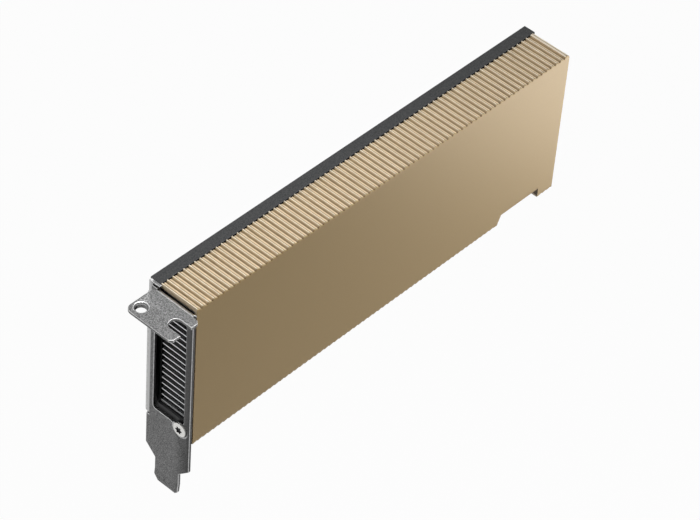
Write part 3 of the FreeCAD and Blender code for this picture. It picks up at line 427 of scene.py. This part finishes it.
def insulating_polyester():
    """Black polyester film: thin, smooth and faintly wavy."""
    return grained_surface("insulating_polyester", {"Roughness": 0.35},
                           size=6.0, depth=0.05, low="#141415", high="#1B1B1D")


def laminate_substrate():
    """Green laminate of the processor's substrate."""
    return grained_surface("laminate_substrate", {"Roughness": 0.4},
                           size=0.4, depth=0.003, low="#2C5B3A", high="#346945")


def polished_silicon():
    """Back of a silicon die: dark, blue-grey and mirror smooth."""
    return grained_surface("polished_silicon", {"Metallic": 0.6, "Roughness": 0.12},
                           size=2.0, depth=0.0005, low="#4A4F58", high="#565C66")


def thermal_grease():
    """Grey thermal grease, smeared under pressure."""
    return grained_surface("thermal_grease", {"Roughness": 0.55},
                           size=0.8, depth=0.03, low="#A0A0A0", high="#B4B4B4")


def fired_ceramic():
    """Tan fired ceramic of small capacitors: dull and slightly speckled."""
    return grained_surface("fired_ceramic", {"Roughness": 0.5},
                           size=0.1, depth=0.003, low="#8C6F4E", high="#A48563")


# Meshes


def grid_faces(rows, columns, close_rows=False, close_columns=False):
    """Give the quads of a grid of points, numbered row by row, as an array of indices."""
    index = np.arange(rows * columns).reshape(rows, columns)
    if close_rows:
        index = np.vstack([index, index[:1]])
    if close_columns:
        index = np.hstack([index, index[:, :1]])
    corners = (index[:-1, :-1], index[1:, :-1], index[1:, 1:], index[:-1, 1:])
    return np.stack(corners, axis=-1).reshape(-1, 4)


def finished_piece(name, mesh, material, node, sharp=SHARP_EDGE):
    """Make a mesh a piece, smooth up to its sharp edges, with its finish and its body,
    and hide the CAD node that it stands for."""
    mesh.shade_smooth()
    mesh.set_sharp_from_angle(angle=math.radians(sharp))
    mesh.materials.append(material)
    piece = bpy.data.objects.new(name, mesh)
    bpy.context.scene.collection.objects.link(piece)
    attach(piece, ROOT)
    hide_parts(node)
    return piece


def new_piece(name, vertices, faces, material, node, sharp=SHARP_EDGE):
    """Make a piece from points in millimetres and faces, which are turned outwards."""
    mesh = bpy.data.meshes.new(name)
    mesh.from_pydata((np.asarray(vertices) * MM).tolist(), [], faces)
    mesh.update()
    shape = bmesh.new()
    shape.from_mesh(mesh)
    bmesh.ops.recalc_face_normals(shape, faces=shape.faces)
    shape.to_mesh(mesh)
    shape.free()
    return finished_piece(name, mesh, material, node, sharp)


def finish_node(node, material):
    """Give a CAD node a finish in place of its plain colour."""
    NODES[node].data.materials.clear()
    NODES[node].data.materials.append(material)


def face_places(mesh):
    """Give the normals and the centres of a mesh's faces, the centres in millimetres."""
    normals, centres = np.empty((2, len(mesh.polygons), 3), dtype=np.float32)
    mesh.polygons.foreach_get("normal", normals.ravel())
    mesh.polygons.foreach_get("center", centres.ravel())
    return normals, centres / MM


def softened_copy(node, name, material, width, edge_material=None):
    """Copy a CAD node, merge its loose triangles into flat faces and round its edges. The
    rounded edges and the facets of the folds may have a finish of their own, a painted
    highlight: a fold's facet is one whose normal leans between X and Y or Z."""
    shape = bmesh.new()
    shape.from_mesh(NODES[node].data)
    bmesh.ops.remove_doubles(shape, verts=shape.verts, dist=MERGE * MM)
    bmesh.ops.dissolve_limit(shape, angle_limit=math.radians(FLAT_EDGE), verts=shape.verts,
                             edges=shape.edges)
    mesh = bpy.data.meshes.new(name)
    shape.to_mesh(mesh)
    shape.free()
    piece = finished_piece(name, mesh, material, node)
    edge = piece.modifiers.new("rounded_edges", "BEVEL")
    edge.width = width * MM
    edge.segments = BEVEL_SEGMENTS
    edge.limit_method = "ANGLE"
    edge.angle_limit = math.radians(SHARP_EDGE)
    edge.use_clamp_overlap = False
    edge.harden_normals = True
    # The rounded edges and the facets of the folds take a painted highlight.
    if edge_material:
        mesh.materials.append(edge_material)
        edge.material = 1
        normals, centres = face_places(mesh)
        lean = np.abs(normals[:, 0])
        folded = ((lean > FOLD_LEAN[0]) & (lean < FOLD_LEAN[1])
                  & (centres[:, 0] > FOLD_START) & (centres[:, 2] > TONGUE_TOP))
        mesh.polygons.foreach_set("material_index", folded.astype(np.int32))
    return piece


# Cover


def ridge_depth(settings, stepped):
    """Give one pitch of the ridges as distances along the card and depths below the crest:
    straight runs between the corners, averaged over one rounding each way. The ridges of
    the lower edge slope straight from the crest to a shallow valley."""
    crest, step = settings.crest_width, settings.step_width
    run, pitch = settings.step_run, settings.ridge_pitch
    along = np.array([0.0, crest, crest + run, crest + run + step, pitch - run, pitch])
    down = np.array([0.0, 0.0, settings.crest_drop, settings.crest_drop + settings.step_slope,
                     settings.ridge_height, 0.0])
    if not stepped:
        down[4] = settings.low_ridge_height
        down[2:4] = np.interp(along[2:4], along[[1, 4]], down[[1, 4]])
    rounding = settings.rounding
    stations = along[:, None] + rounding * np.array([-1, -0.5, 0, 0.5, 1])
    stations = np.unique(np.clip(stations.ravel(), 0, pitch))
    wide = np.concatenate([along[:-1] - pitch, along[:-1], along + pitch])
    deep = np.concatenate([down[:-1], down[:-1], down])
    spread = np.linspace(-rounding, rounding, MEAN_POINTS)
    depth = np.interp(stations[:, None] + spread, wide, deep).mean(axis=1)
    return stations[:-1], depth[:-1]


def edge_rows(settings, low, high):
    """Give the stations along the card, and at each how far the upper and the lower edge
    lie under their crests and how far the notch lifts the lower one: the pitch of the ridges
    is repeated, the tail's bevel falls one to one and the notch is a trapezium."""
    notch = np.array([settings.notch_start, settings.notch_start + settings.notch_lean,
                      settings.notch_end - HAIR, settings.notch_end])
    pitch, bevel_start = settings.ridge_pitch, high[0] - settings.tail_bevel
    along, depth = ridge_depth(settings, stepped=True)
    low_depth = ridge_depth(settings, stepped=False)[1]
    top_count = int((bevel_start - low[0]) // pitch)
    low_count = int((notch[0] - low[0]) // pitch)
    foot_start = notch[3] + settings.crest_width
    foot_count = int((high[0] - foot_start) // pitch)
    top_x = (low[0] + pitch * np.arange(top_count)[:, None] + along).ravel()
    low_x = top_x[:low_count * len(along)]
    foot_x = (foot_start + pitch * np.arange(foot_count)[:, None] + along).ravel()
    ends = [low_x[-1] + settings.rounding, foot_start + pitch * foot_count]
    stations = np.unique(np.concatenate([top_x, foot_x, notch, ends, [bevel_start, high[0]]]))
    top = np.interp(stations, top_x, np.tile(depth, top_count))
    top[stations > low[0] + pitch * top_count - HAIR] = 0.0
    top = np.maximum(top, stations - bevel_start)
    bottom = np.interp(stations, np.concatenate([low_x, ends[:1], foot_x, ends[1:]]),
                       np.concatenate([np.tile(low_depth, low_count), [0.0],
                                       np.tile(low_depth, foot_count), [0.0]]))
    rise = np.interp(stations, notch, [0.0, settings.notch_rise, settings.notch_rise, 0.0])
    return stations, top, bottom, rise


def channel_section(settings, low, high):
    """Give the outline of the channel as a place across the card and a height, with 1 at the
    points that the upper ridges, the lower ridges and the notch move, and 0 elsewhere. Both
    outer corners are quarter circles."""
    radius, flange = settings.edge_radius, settings.flange
    turn = np.linspace(0, math.pi / 2, ARC_POINTS)
    arc_y, arc_z = radius * (1 - np.sin(turn)), radius * (1 - np.cos(turn))
    hem = high[2] - radius - HEM * settings.ridge_height
    upper = [(high[1], high[2]), *zip(low[1] + arc_y, high[2] - arc_z), (low[1], hem)]
    lower = [(y, low[2] + high[2] - z) for y, z in upper[::-1]]
    face = low[1] + settings.wall
    inner = [(high[1], low[2] + flange), (face, low[2] + flange),
             (face, high[2] - flange), (high[1], high[2] - flange)]
    section = np.array(upper + lower + inner)
    half = len(upper)
    moved = np.zeros((3, len(section)))
    moved[0, :half - 1] = 1
    moved[1, half + 1:2 * half] = 1
    moved[2, half:2 * half + 2] = 1
    return section, moved


def screw_places(low, high, half, rise=0.0):
    """Give the places of screws in the card's plane, from the box round their heads and half
    a head's width: one in the middle where the box is no wider than a head, and else one
    at each corner, the last of them raised."""
    if high[0] - low[0] < 2 * half + HAIR:
        return [((low[0] + high[0]) / 2, (low[2] + high[2]) / 2)]
    return [(low[0] + half, high[2] - half), (low[0] + half, low[2] + half),
            (high[0] - half, high[2] - half), (high[0] - half, low[2] + half + rise)]


def add_posts(vertices, faces, inside, width):
    """Add the four screw posts: six-sided tubes round the cover screws, from the board's
    face to the inside of the cover. Each side lies half the width from the screw's axis."""
    low, high = in_millimetres("cover_screws")
    board = in_millimetres("circuit_board")[0][1]
    turn = np.radians(np.arange(0, 360, POST_STEP))
    hexagon = width / 2 / np.cos((turn % math.radians(60)) - math.radians(30))
    bore = np.full(len(turn), SCREW_SHANK_RADIUS)
    rings = [(hexagon, board), (hexagon, inside), (bore, inside), (bore, board)]
    tube = np.array([np.stack([radius * np.cos(turn), level + 0 * turn, radius * np.sin(turn)],
                              axis=1)
                     for radius, level in rings])
    quads = grid_faces(len(rings), len(turn), close_rows=True, close_columns=True)
    for x, z in screw_places(low, high, SCREW_HEAD_RADIUS, TAIL_SCREW_RISE):
        faces = faces + (quads + len(vertices)).tolist()
        vertices = np.vstack([vertices, tube.reshape(-1, 3) + (x, 0, z)])
    return vertices, faces


class CardCoverSettings(bpy.types.PropertyGroup):
    """Sizes and colours of the ridged cover."""

    wall: bpy.props.FloatProperty(
        name="Wall", description="Thickness of the face, in millimetres", default=0.9)
    flange: bpy.props.FloatProperty(
        name="Flange", description="Thickness of the ridged edges, in millimetres", default=1.65)
    tail_bevel: bpy.props.FloatProperty(
        name="Tail bevel", description="Bevel across the tail's top edge, in millimetres",
        default=0.9)
    notch_start: bpy.props.FloatProperty(
        name="Notch start", description="Place of the notch's front end, in millimetres",
        default=146.35)
    notch_lean: bpy.props.FloatProperty(
        name="Notch lean", description="Length of the notch's slanting front, in millimetres",
        default=1.6)
    notch_end: bpy.props.FloatProperty(
        name="Notch end", description="Place of the notch's upright end, in millimetres",
        default=166.35)
    notch_rise: bpy.props.FloatProperty(
        name="Notch rise", description="Height of the notch, in millimetres", default=3.6)
    post_width: bpy.props.FloatProperty(
        name="Post width", description="Width of a screw post across its flats, in millimetres",
        default=4.4)
    ridge_pitch: bpy.props.FloatProperty(
        name="Ridge pitch", description="Distance from ridge to ridge, in millimetres",
        default=2.209)
    ridge_height: bpy.props.FloatProperty(
        name="Ridge height", description="Depth of the valleys, in millimetres", default=0.95)
    low_ridge_height: bpy.props.FloatProperty(
        name="Low ridge height", description="Depth of the lower edge's valleys, in millimetres",
        default=0.35)
    crest_width: bpy.props.FloatProperty(
        name="Crest width", description="Flat top of a ridge, in millimetres", default=0.42)
    crest_drop: bpy.props.FloatProperty(
        name="Crest drop", description="Drop from crest to step, in millimetres", default=0.42)
    step_run: bpy.props.FloatProperty(
        name="Step run", description="Length of a steep flank, in millimetres", default=0.2)
    step_width: bpy.props.FloatProperty(
        name="Step width", description="Length of the step, in millimetres", default=1.0)
    step_slope: bpy.props.FloatProperty(
        name="Step slope", description="Fall along the step, in millimetres", default=0.14)
    rounding: bpy.props.FloatProperty(
        name="Rounding", description="Reach of each rounded corner, in millimetres", default=0.12)
    edge_radius: bpy.props.FloatProperty(
        name="Edge radius", description="Radius along the face's edges, in millimetres",
        default=0.45)
    face_light: bpy.props.StringProperty(
        name="Face, light", description="Lighter tone of the blasted face", default="#CAA867")
    face_dark: bpy.props.StringProperty(
        name="Face, dark", description="Darker tone of the blasted face", default="#C5A362")
    # The ridges' pale tones are partly painted sheen.
    ridge_light_with_sheen: bpy.props.StringProperty(
        name="Ridges, light", description="Lighter tone of the cut ridges", default="#E6D2B1")
    ridge_dark_with_sheen: bpy.props.StringProperty(
        name="Ridges, dark", description="Darker tone of the cut ridges", default="#E0CAA8")
    # Painted highlight along the crests.
    crest_highlight: bpy.props.StringProperty(
        name="Crests", description="Tone along the crests of the ridges", default="#F7EAD3")
    # Painted shade behind each crest.
    seam: bpy.props.StringProperty(
        name="Seams", description="Tone in the corner behind each crest", default="#927C58")
    # Painted shade at the bottom of the grooves.
    groove_shade: bpy.props.StringProperty(
        name="Grooves", description="Tone at the bottom of the grooves", default="#5E4826")


class CARD_OT_cover(bpy.types.Operator):
    """Build the gold cover: a face and two ridged flanges"""

    bl_idname = "card.cover"
    bl_label = "Cover"

    def execute(self, context):
        settings = context.scene.card_cover
        low, high = in_millimetres("ridged_cover")
        stations, top, bottom, rise = edge_rows(settings, low, high)
        section, (on_top, on_bottom, on_notch) = channel_section(settings, low, high)
        points = np.empty((len(stations), len(section), 3))
        points[..., 0] = stations[:, None]
        points[..., 1] = section[:, 0]
        points[..., 2] = (section[:, 1] - top[:, None] * on_top
                          + bottom[:, None] * on_bottom + rise[:, None] * on_notch)
        rows, columns = points.shape[:2]
        faces = grid_faces(rows, columns, close_columns=True).tolist()
        faces.append(list(range(columns)))
        faces.append(list(range((rows - 1) * columns, rows * columns)))
        vertices, faces = add_posts(points.reshape(-1, 3), faces, low[1] + settings.wall,
                                    settings.post_width)
        new_piece("cover_shell", vertices, faces,
                  gold_anodised_aluminium(settings), "ridged_cover")
        return {"FINISHED"}


# Bracket


class CARD_OT_bracket(bpy.types.Operator):
    """Round the edges of the folded bracket and plate it"""

    bl_idname = "card.bracket"
    bl_label = "Bracket"

    def execute(self, context):
        # The bracket's rounded edges and folds take a painted highlight.
        softened_copy("mounting_bracket", "bracket_sheet", nickel_plated_steel(),
                      BRACKET_BEVEL, edge_material=nickel_edge_highlight())
        # Near black: painted shade behind the vent.
        finish_node("bracket_block", block_painted_shade())
        return {"FINISHED"}


# Back plate


class CARD_OT_back_plate(bpy.types.Operator):
    """Coat the back plate with its rail, and lay the film under it"""

    bl_idname = "card.back_plate"
    bl_label = "Back plate"

    def execute(self, context):
        mesh = softened_copy("back_plate", "back_plate_shell", satin_black_coat(),
                             PLATE_BEVEL).data
        # The rail's edge beside the ridges takes a painted shadow.
        mesh.materials.append(rail_edge_painted_shadow())
        normals, centres = face_places(mesh)
        edge = in_millimetres("back_plate")[0][1]
        shadowed_edge = (normals[:, 1] < EDGE_FACING) & (centres[:, 1] < edge + HAIR)
        mesh.polygons.foreach_set("material_index", shadowed_edge.astype(np.int32))
        finish_node("insulating_film", insulating_polyester())
        return {"FINISHED"}


# Screws


def screw_surface(seat, axis, head_radius, head_height, shank_radius, length):
    """Surface of a screw as rings round its axis: a domed head with a lobed recess, whose
    radius is a mean radius plus a wave of six lobes, then the rim, the underside,
    the shank and its pointed tip."""
    angle = np.linspace(0, 2 * math.pi, SCREW_TURNS, endpoint=False)
    recess = head_radius * (0.46 + 0.1 * np.cos(RECESS_LOBES * angle))
    dome = head_height * 0.16

    # Each ring's radius, and its level from the top of the head
    rows = [
        (recess * 0.02, -head_height * 0.55),
        (recess * 0.9, -head_height * 0.55),
        (recess, -head_height * 0.45),
        (recess, -RECESS_LIP),
        (recess * 1.06, 0.0),
        (head_radius * 0.75, -dome * 0.3),
        (head_radius * 0.92, -dome),
        (head_radius * 0.985, -dome * 1.8),
        (head_radius, -dome * 2.8),
        (head_radius, -head_height),
        (shank_radius, -head_height),
        (shank_radius, -head_height - length + shank_radius),
        (shank_radius * 0.35, -head_height - length),
    ]
    axis = np.asarray(axis, float)
    side = np.cross(axis, (0.0, 0.0, 1.0))
    upward = np.cross(side, axis)
    wheel = np.cos(angle)[:, None] * side + np.sin(angle)[:, None] * upward
    top = np.asarray(seat, float) + axis * head_height
    points = np.array([top + (radius + 0 * angle)[:, None] * wheel + axis * level
                       for radius, level in rows])
    faces = grid_faces(len(rows), SCREW_TURNS, close_columns=True)
    caps = [np.arange(SCREW_TURNS), np.arange(SCREW_TURNS) + SCREW_TURNS * (len(rows) - 1)]
    return points.reshape(-1, 3), faces, caps


def build_screws(node, seats, axis, sizes, material):
    """Join the surfaces of like screws into one piece, with painted shade in the recesses."""
    vertices, faces, recess_shaded, start = [], [], [], 0
    in_recess = RECESS_ROWS * SCREW_TURNS
    for seat in seats:
        points, quads, caps = screw_surface(seat, axis, *sizes)
        vertices.append(points)
        faces += (quads + start).tolist() + [(cap + start).tolist() for cap in caps]
        recess_shaded += [1] * in_recess + [0] * (len(quads) - in_recess) + [1, 0]
        start += len(points)
    piece = new_piece(node + "_turned", np.vstack(vertices), faces, material,
                      node, sharp=SCREW_SHARP_EDGE)
    # The recesses take painted shade.
    piece.data.materials.append(recess_painted_shade())
    piece.data.polygons.foreach_set("material_index", np.array(recess_shaded, dtype=np.int32))


class CARD_OT_screws(bpy.types.Operator):
    """Turn the screws, each with a domed head and a lobed recess"""

    bl_idname = "card.screws"
    bl_label = "Screws"

    def execute(self, context):
        steel = bright_nickel()
        low, high = in_millimetres("bracket_screw")
        middle = (low + high) / 2
        build_screws("bracket_screw", [(low[0] + BRACKET_HEAD_HEIGHT, middle[1], middle[2])],
                     (-1, 0, 0),
                     ((high[2] - low[2]) / 2, BRACKET_HEAD_HEIGHT, BRACKET_SHANK_RADIUS,
                      high[0] - low[0] - BRACKET_HEAD_HEIGHT), steel)
        for node, radius, rise in (("flap_screw", SCREW_HEAD_RADIUS, 0.0),
                                   ("block_screw", SCREW_HEAD_RADIUS, 0.0),
                                   ("spring_screws", SPRING_HEAD_RADIUS, 0.0),
                                   ("cover_screws", SCREW_HEAD_RADIUS, TAIL_SCREW_RISE)):
            low, high = in_millimetres(node)
            under_head = high[1] - SCREW_HEAD_HEIGHT
            seats = [(x, under_head, z) for x, z in screw_places(low, high, radius, rise)]
            build_screws(node, seats, (0, 1, 0),
                         (radius, SCREW_HEAD_HEIGHT, SCREW_SHANK_RADIUS, under_head - low[1]),
                         steel)
        return {"FINISHED"}


# Inside


class CARD_OT_heat_sink(bpy.types.Operator):
    """Finish the fins, the vapour chamber and the leaf spring behind them"""

    bl_idname = "card.heat_sink"
    bl_label = "Heat sink"

    def execute(self, context):
        finish_node("fin_stack", rolled_aluminium())
        finish_node("heat_sink_base", nickel_plated_copper())
        softened_copy("retention_spring", "leaf_spring", bright_nickel(),
                      SPRING_BEVEL)
        return {"FINISHED"}


class CARD_OT_board(bpy.types.Operator):
    """Finish the circuit board and plate its edge contacts"""

    bl_idname = "card.board"
    bl_label = "Board"

    def execute(self, context):
        finish_node("circuit_board", solder_mask())
        finish_node("edge_contacts", hard_gold_plate())
        return {"FINISHED"}


class CARD_OT_chips(bpy.types.Operator):
    """Finish the processor, the memory, the power pieces and their pads"""

    bl_idname = "card.chips"
    bl_label = "Chips"

    def execute(self, context):
        epoxy, pad, ceramic = moulded_epoxy(), silicone_pad(), fired_ceramic()
        for node in ("memory_chips_front", "memory_chips_back", "power_inductors", "power_stages",
                     "bulk_capacitors", "controller_chips"):
            finish_node(node, epoxy)
        for node in ("memory_pads_front", "memory_pads_back", "inductor_pads", "power_stage_pads"):
            finish_node(node, pad)
        for node in ("ceramic_capacitors", "back_capacitors"):
            finish_node(node, ceramic)
        finish_node("gpu_substrate", laminate_substrate())
        finish_node("gpu_stiffener", nickel_plated_copper())
        finish_node("gpu_die", polished_silicon())
        finish_node("thermal_paste", thermal_grease())
        return {"FINISHED"}


# Stage


class CardStageSettings(bpy.types.PropertyGroup):
    """Camera and floor of the stage."""

    azimuth: bpy.props.FloatProperty(
        name="Azimuth", description="Direction from which the camera looks", unit="ROTATION",
        default=math.radians(-50.105))
    elevation: bpy.props.FloatProperty(
        name="Elevation", description="Height of the camera above the horizon", unit="ROTATION",
        default=math.radians(43.91))
    roll: bpy.props.FloatProperty(
        name="Roll", description="Turn of the camera about its own axis", unit="ROTATION",
        default=math.radians(4.682))
    distance: bpy.props.FloatProperty(
        name="Distance", description="Distance from the camera to its target", unit="LENGTH",
        default=0.96972)
    lens: bpy.props.FloatProperty(
        name="Lens", description="Focal length in millimetres", default=160.88)
    floor_gap: bpy.props.FloatProperty(
        name="Floor gap", description="Height of the card above the floor", unit="LENGTH",
        default=0.35)


def seen_directly(tree):
    """Give 1 for the rays of the camera and those that show in metal and glass, else 0."""
    path = add_node(tree, "LightPath", {}, {})
    metal = add_node(tree, "Math", {"operation": "MAXIMUM"}, {
        0: path.outputs["Is Camera Ray"], 1: path.outputs["Is Glossy Ray"]})
    return add_node(tree, "Math", {"operation": "MAXIMUM"}, {
        0: metal, 1: path.outputs["Is Transmission Ray"]})


def pale_floor():
    """Matt white paint, white to the camera and in metal and glass. A share of the paint's
    own shading keeps the card's shadow. From below it is clear, so that the card shows."""
    material, tree, shader, _ = new_surface(
        "pale_floor", {"Roughness": 0.9, "Base Color": linear("#FAFAFA")})
    glow = add_node(tree, "Emission", {"Strength": 1.0}, {})
    share = add_node(tree, "Math", {"operation": "MULTIPLY", 1: DIRECT_SHARE},
                     {0: seen_directly(tree)})
    mixed = add_node(tree, "MixShader", {}, {0: share, 1: shader, 2: glow})
    below = add_node(tree, "NewGeometry", {}, {}).outputs["Backfacing"]
    clear = add_node(tree, "BsdfTransparent", {}, {})
    either = add_node(tree, "MixShader", {}, {0: below, 1: mixed, 2: clear})
    output = next(node for node in tree.nodes if node.type == "OUTPUT_MATERIAL")
    tree.links.new(either.outputs["Shader"], output.inputs["Surface"])
    return material


def add_floor(level):
    """Lay a square floor at a height, as part of the stage."""
    mesh = bpy.data.meshes.new("floor")
    corners = [(x * FLOOR_REACH, y * FLOOR_REACH, level)
               for x, y in ((-1, -1), (1, -1), (1, 1), (-1, 1))]
    mesh.from_pydata(corners, [], [(0, 1, 2, 3)])
    mesh.materials.append(pale_floor())
    floor = bpy.data.objects.new("floor", mesh)
    bpy.context.scene.collection.objects.link(floor)
    floor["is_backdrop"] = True


def add_world():
    """Make the world white to the camera and in metal and glass, and dim on the card."""
    world = bpy.data.worlds.new("studio")
    world.use_nodes = True
    bpy.context.scene.world = world
    tree = world.node_tree
    tree.nodes.clear()
    room = add_node(tree, "Background", {"Color": linear("#FFFFFF"), "Strength": ROOM_LIGHT}, {})
    white = add_node(tree, "Background", {"Color": linear("#FFFFFF"), "Strength": 1.0}, {})
    mixed = add_node(tree, "MixShader", {}, {0: seen_directly(tree), 1: room, 2: white})
    add_node(tree, "OutputWorld", {}, {"Surface": mixed})


def add_lamp(name, place, target, size, power, spread):
    """Add a square soft light that faces its target, with its beam's width in degrees."""
    lamp = bpy.data.lights.new(name, "AREA")
    lamp.shape = "RECTANGLE"
    lamp.size = lamp.size_y = size
    lamp.energy = power
    lamp.spread = math.radians(spread)
    light = bpy.data.objects.new(name, lamp)
    light.location = place
    light.visible_camera = False
    light.rotation_mode = "QUATERNION"
    light.rotation_quaternion = (Vector(target) - Vector(place)).to_track_quat("-Z", "Y")
    bpy.context.scene.collection.objects.link(light)


def add_camera(settings):
    """Point a camera at its target from a distance, an azimuth and an elevation, and roll it
    about its own axis."""
    lens = bpy.data.cameras.new("camera")
    lens.lens = settings.lens
    lens.sensor_width = SENSOR_WIDTH
    lens.clip_start, lens.clip_end = CLIP
    camera = bpy.data.objects.new("camera", lens)
    flat = math.cos(settings.elevation)
    back = Vector((math.sin(settings.azimuth) * flat, -math.cos(settings.azimuth) * flat,
                   math.sin(settings.elevation)))
    camera.location = Vector(CAMERA_TARGET) * MM + back * settings.distance
    camera.rotation_mode = "QUATERNION"
    upright = (-back).to_track_quat("-Z", "Y")
    camera.rotation_quaternion = upright @ Quaternion((0, 0, 1), settings.roll)
    bpy.context.scene.collection.objects.link(camera)
    bpy.context.scene.camera = camera


class CARD_OT_stage(bpy.types.Operator):
    """Set the floor, the world, the lights and the camera"""

    bl_idname = "card.stage"
    bl_label = "Stage"

    def execute(self, context):
        settings = context.scene.card_stage
        add_floor(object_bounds()[0].z - settings.floor_gap)
        add_world()
        for lamp in LAMPS:
            add_lamp(*lamp)
        add_camera(settings)
        context.scene.view_settings.view_transform = "Standard"
        return {"FINISHED"}


class CARD_PT_panel(bpy.types.Panel):
    """Lists the card's pieces and its settings."""

    bl_idname = "CARD_PT_panel"
    bl_label = "Accelerator Card"
    bl_space_type = "VIEW_3D"
    bl_region_type = "UI"
    bl_category = "Card"

    def draw(self, context):
        for operator in OPERATORS:
            self.layout.operator(operator.bl_idname)
        for group in (context.scene.card_cover, context.scene.card_stage):
            for name in group.__annotations__:
                self.layout.prop(group, name)


OPERATORS = (CARD_OT_cover, CARD_OT_bracket, CARD_OT_back_plate, CARD_OT_screws, CARD_OT_heat_sink,
             CARD_OT_board, CARD_OT_chips, CARD_OT_stage)
CLASSES = (CardCoverSettings, CardStageSettings, *OPERATORS, CARD_PT_panel)


def register():
    """Register the classes and hang their settings on the scene."""
    for item in CLASSES:
        bpy.utils.register_class(item)
    bpy.types.Scene.card_cover = bpy.props.PointerProperty(type=CardCoverSettings)
    bpy.types.Scene.card_stage = bpy.props.PointerProperty(type=CardStageSettings)


def unregister():
    """Take the settings and the classes away again."""
    del bpy.types.Scene.card_stage
    del bpy.types.Scene.card_cover
    for item in reversed(CLASSES):
        bpy.utils.unregister_class(item)


def main():
    """Build every piece and the stage."""
    register()
    bpy.ops.card.cover()
    bpy.ops.card.bracket()
    bpy.ops.card.back_plate()
    bpy.ops.card.screws()
    bpy.ops.card.heat_sink()
    bpy.ops.card.board()
    bpy.ops.card.chips()
    bpy.ops.card.stage()


if __name__ == "__main__":
    main()
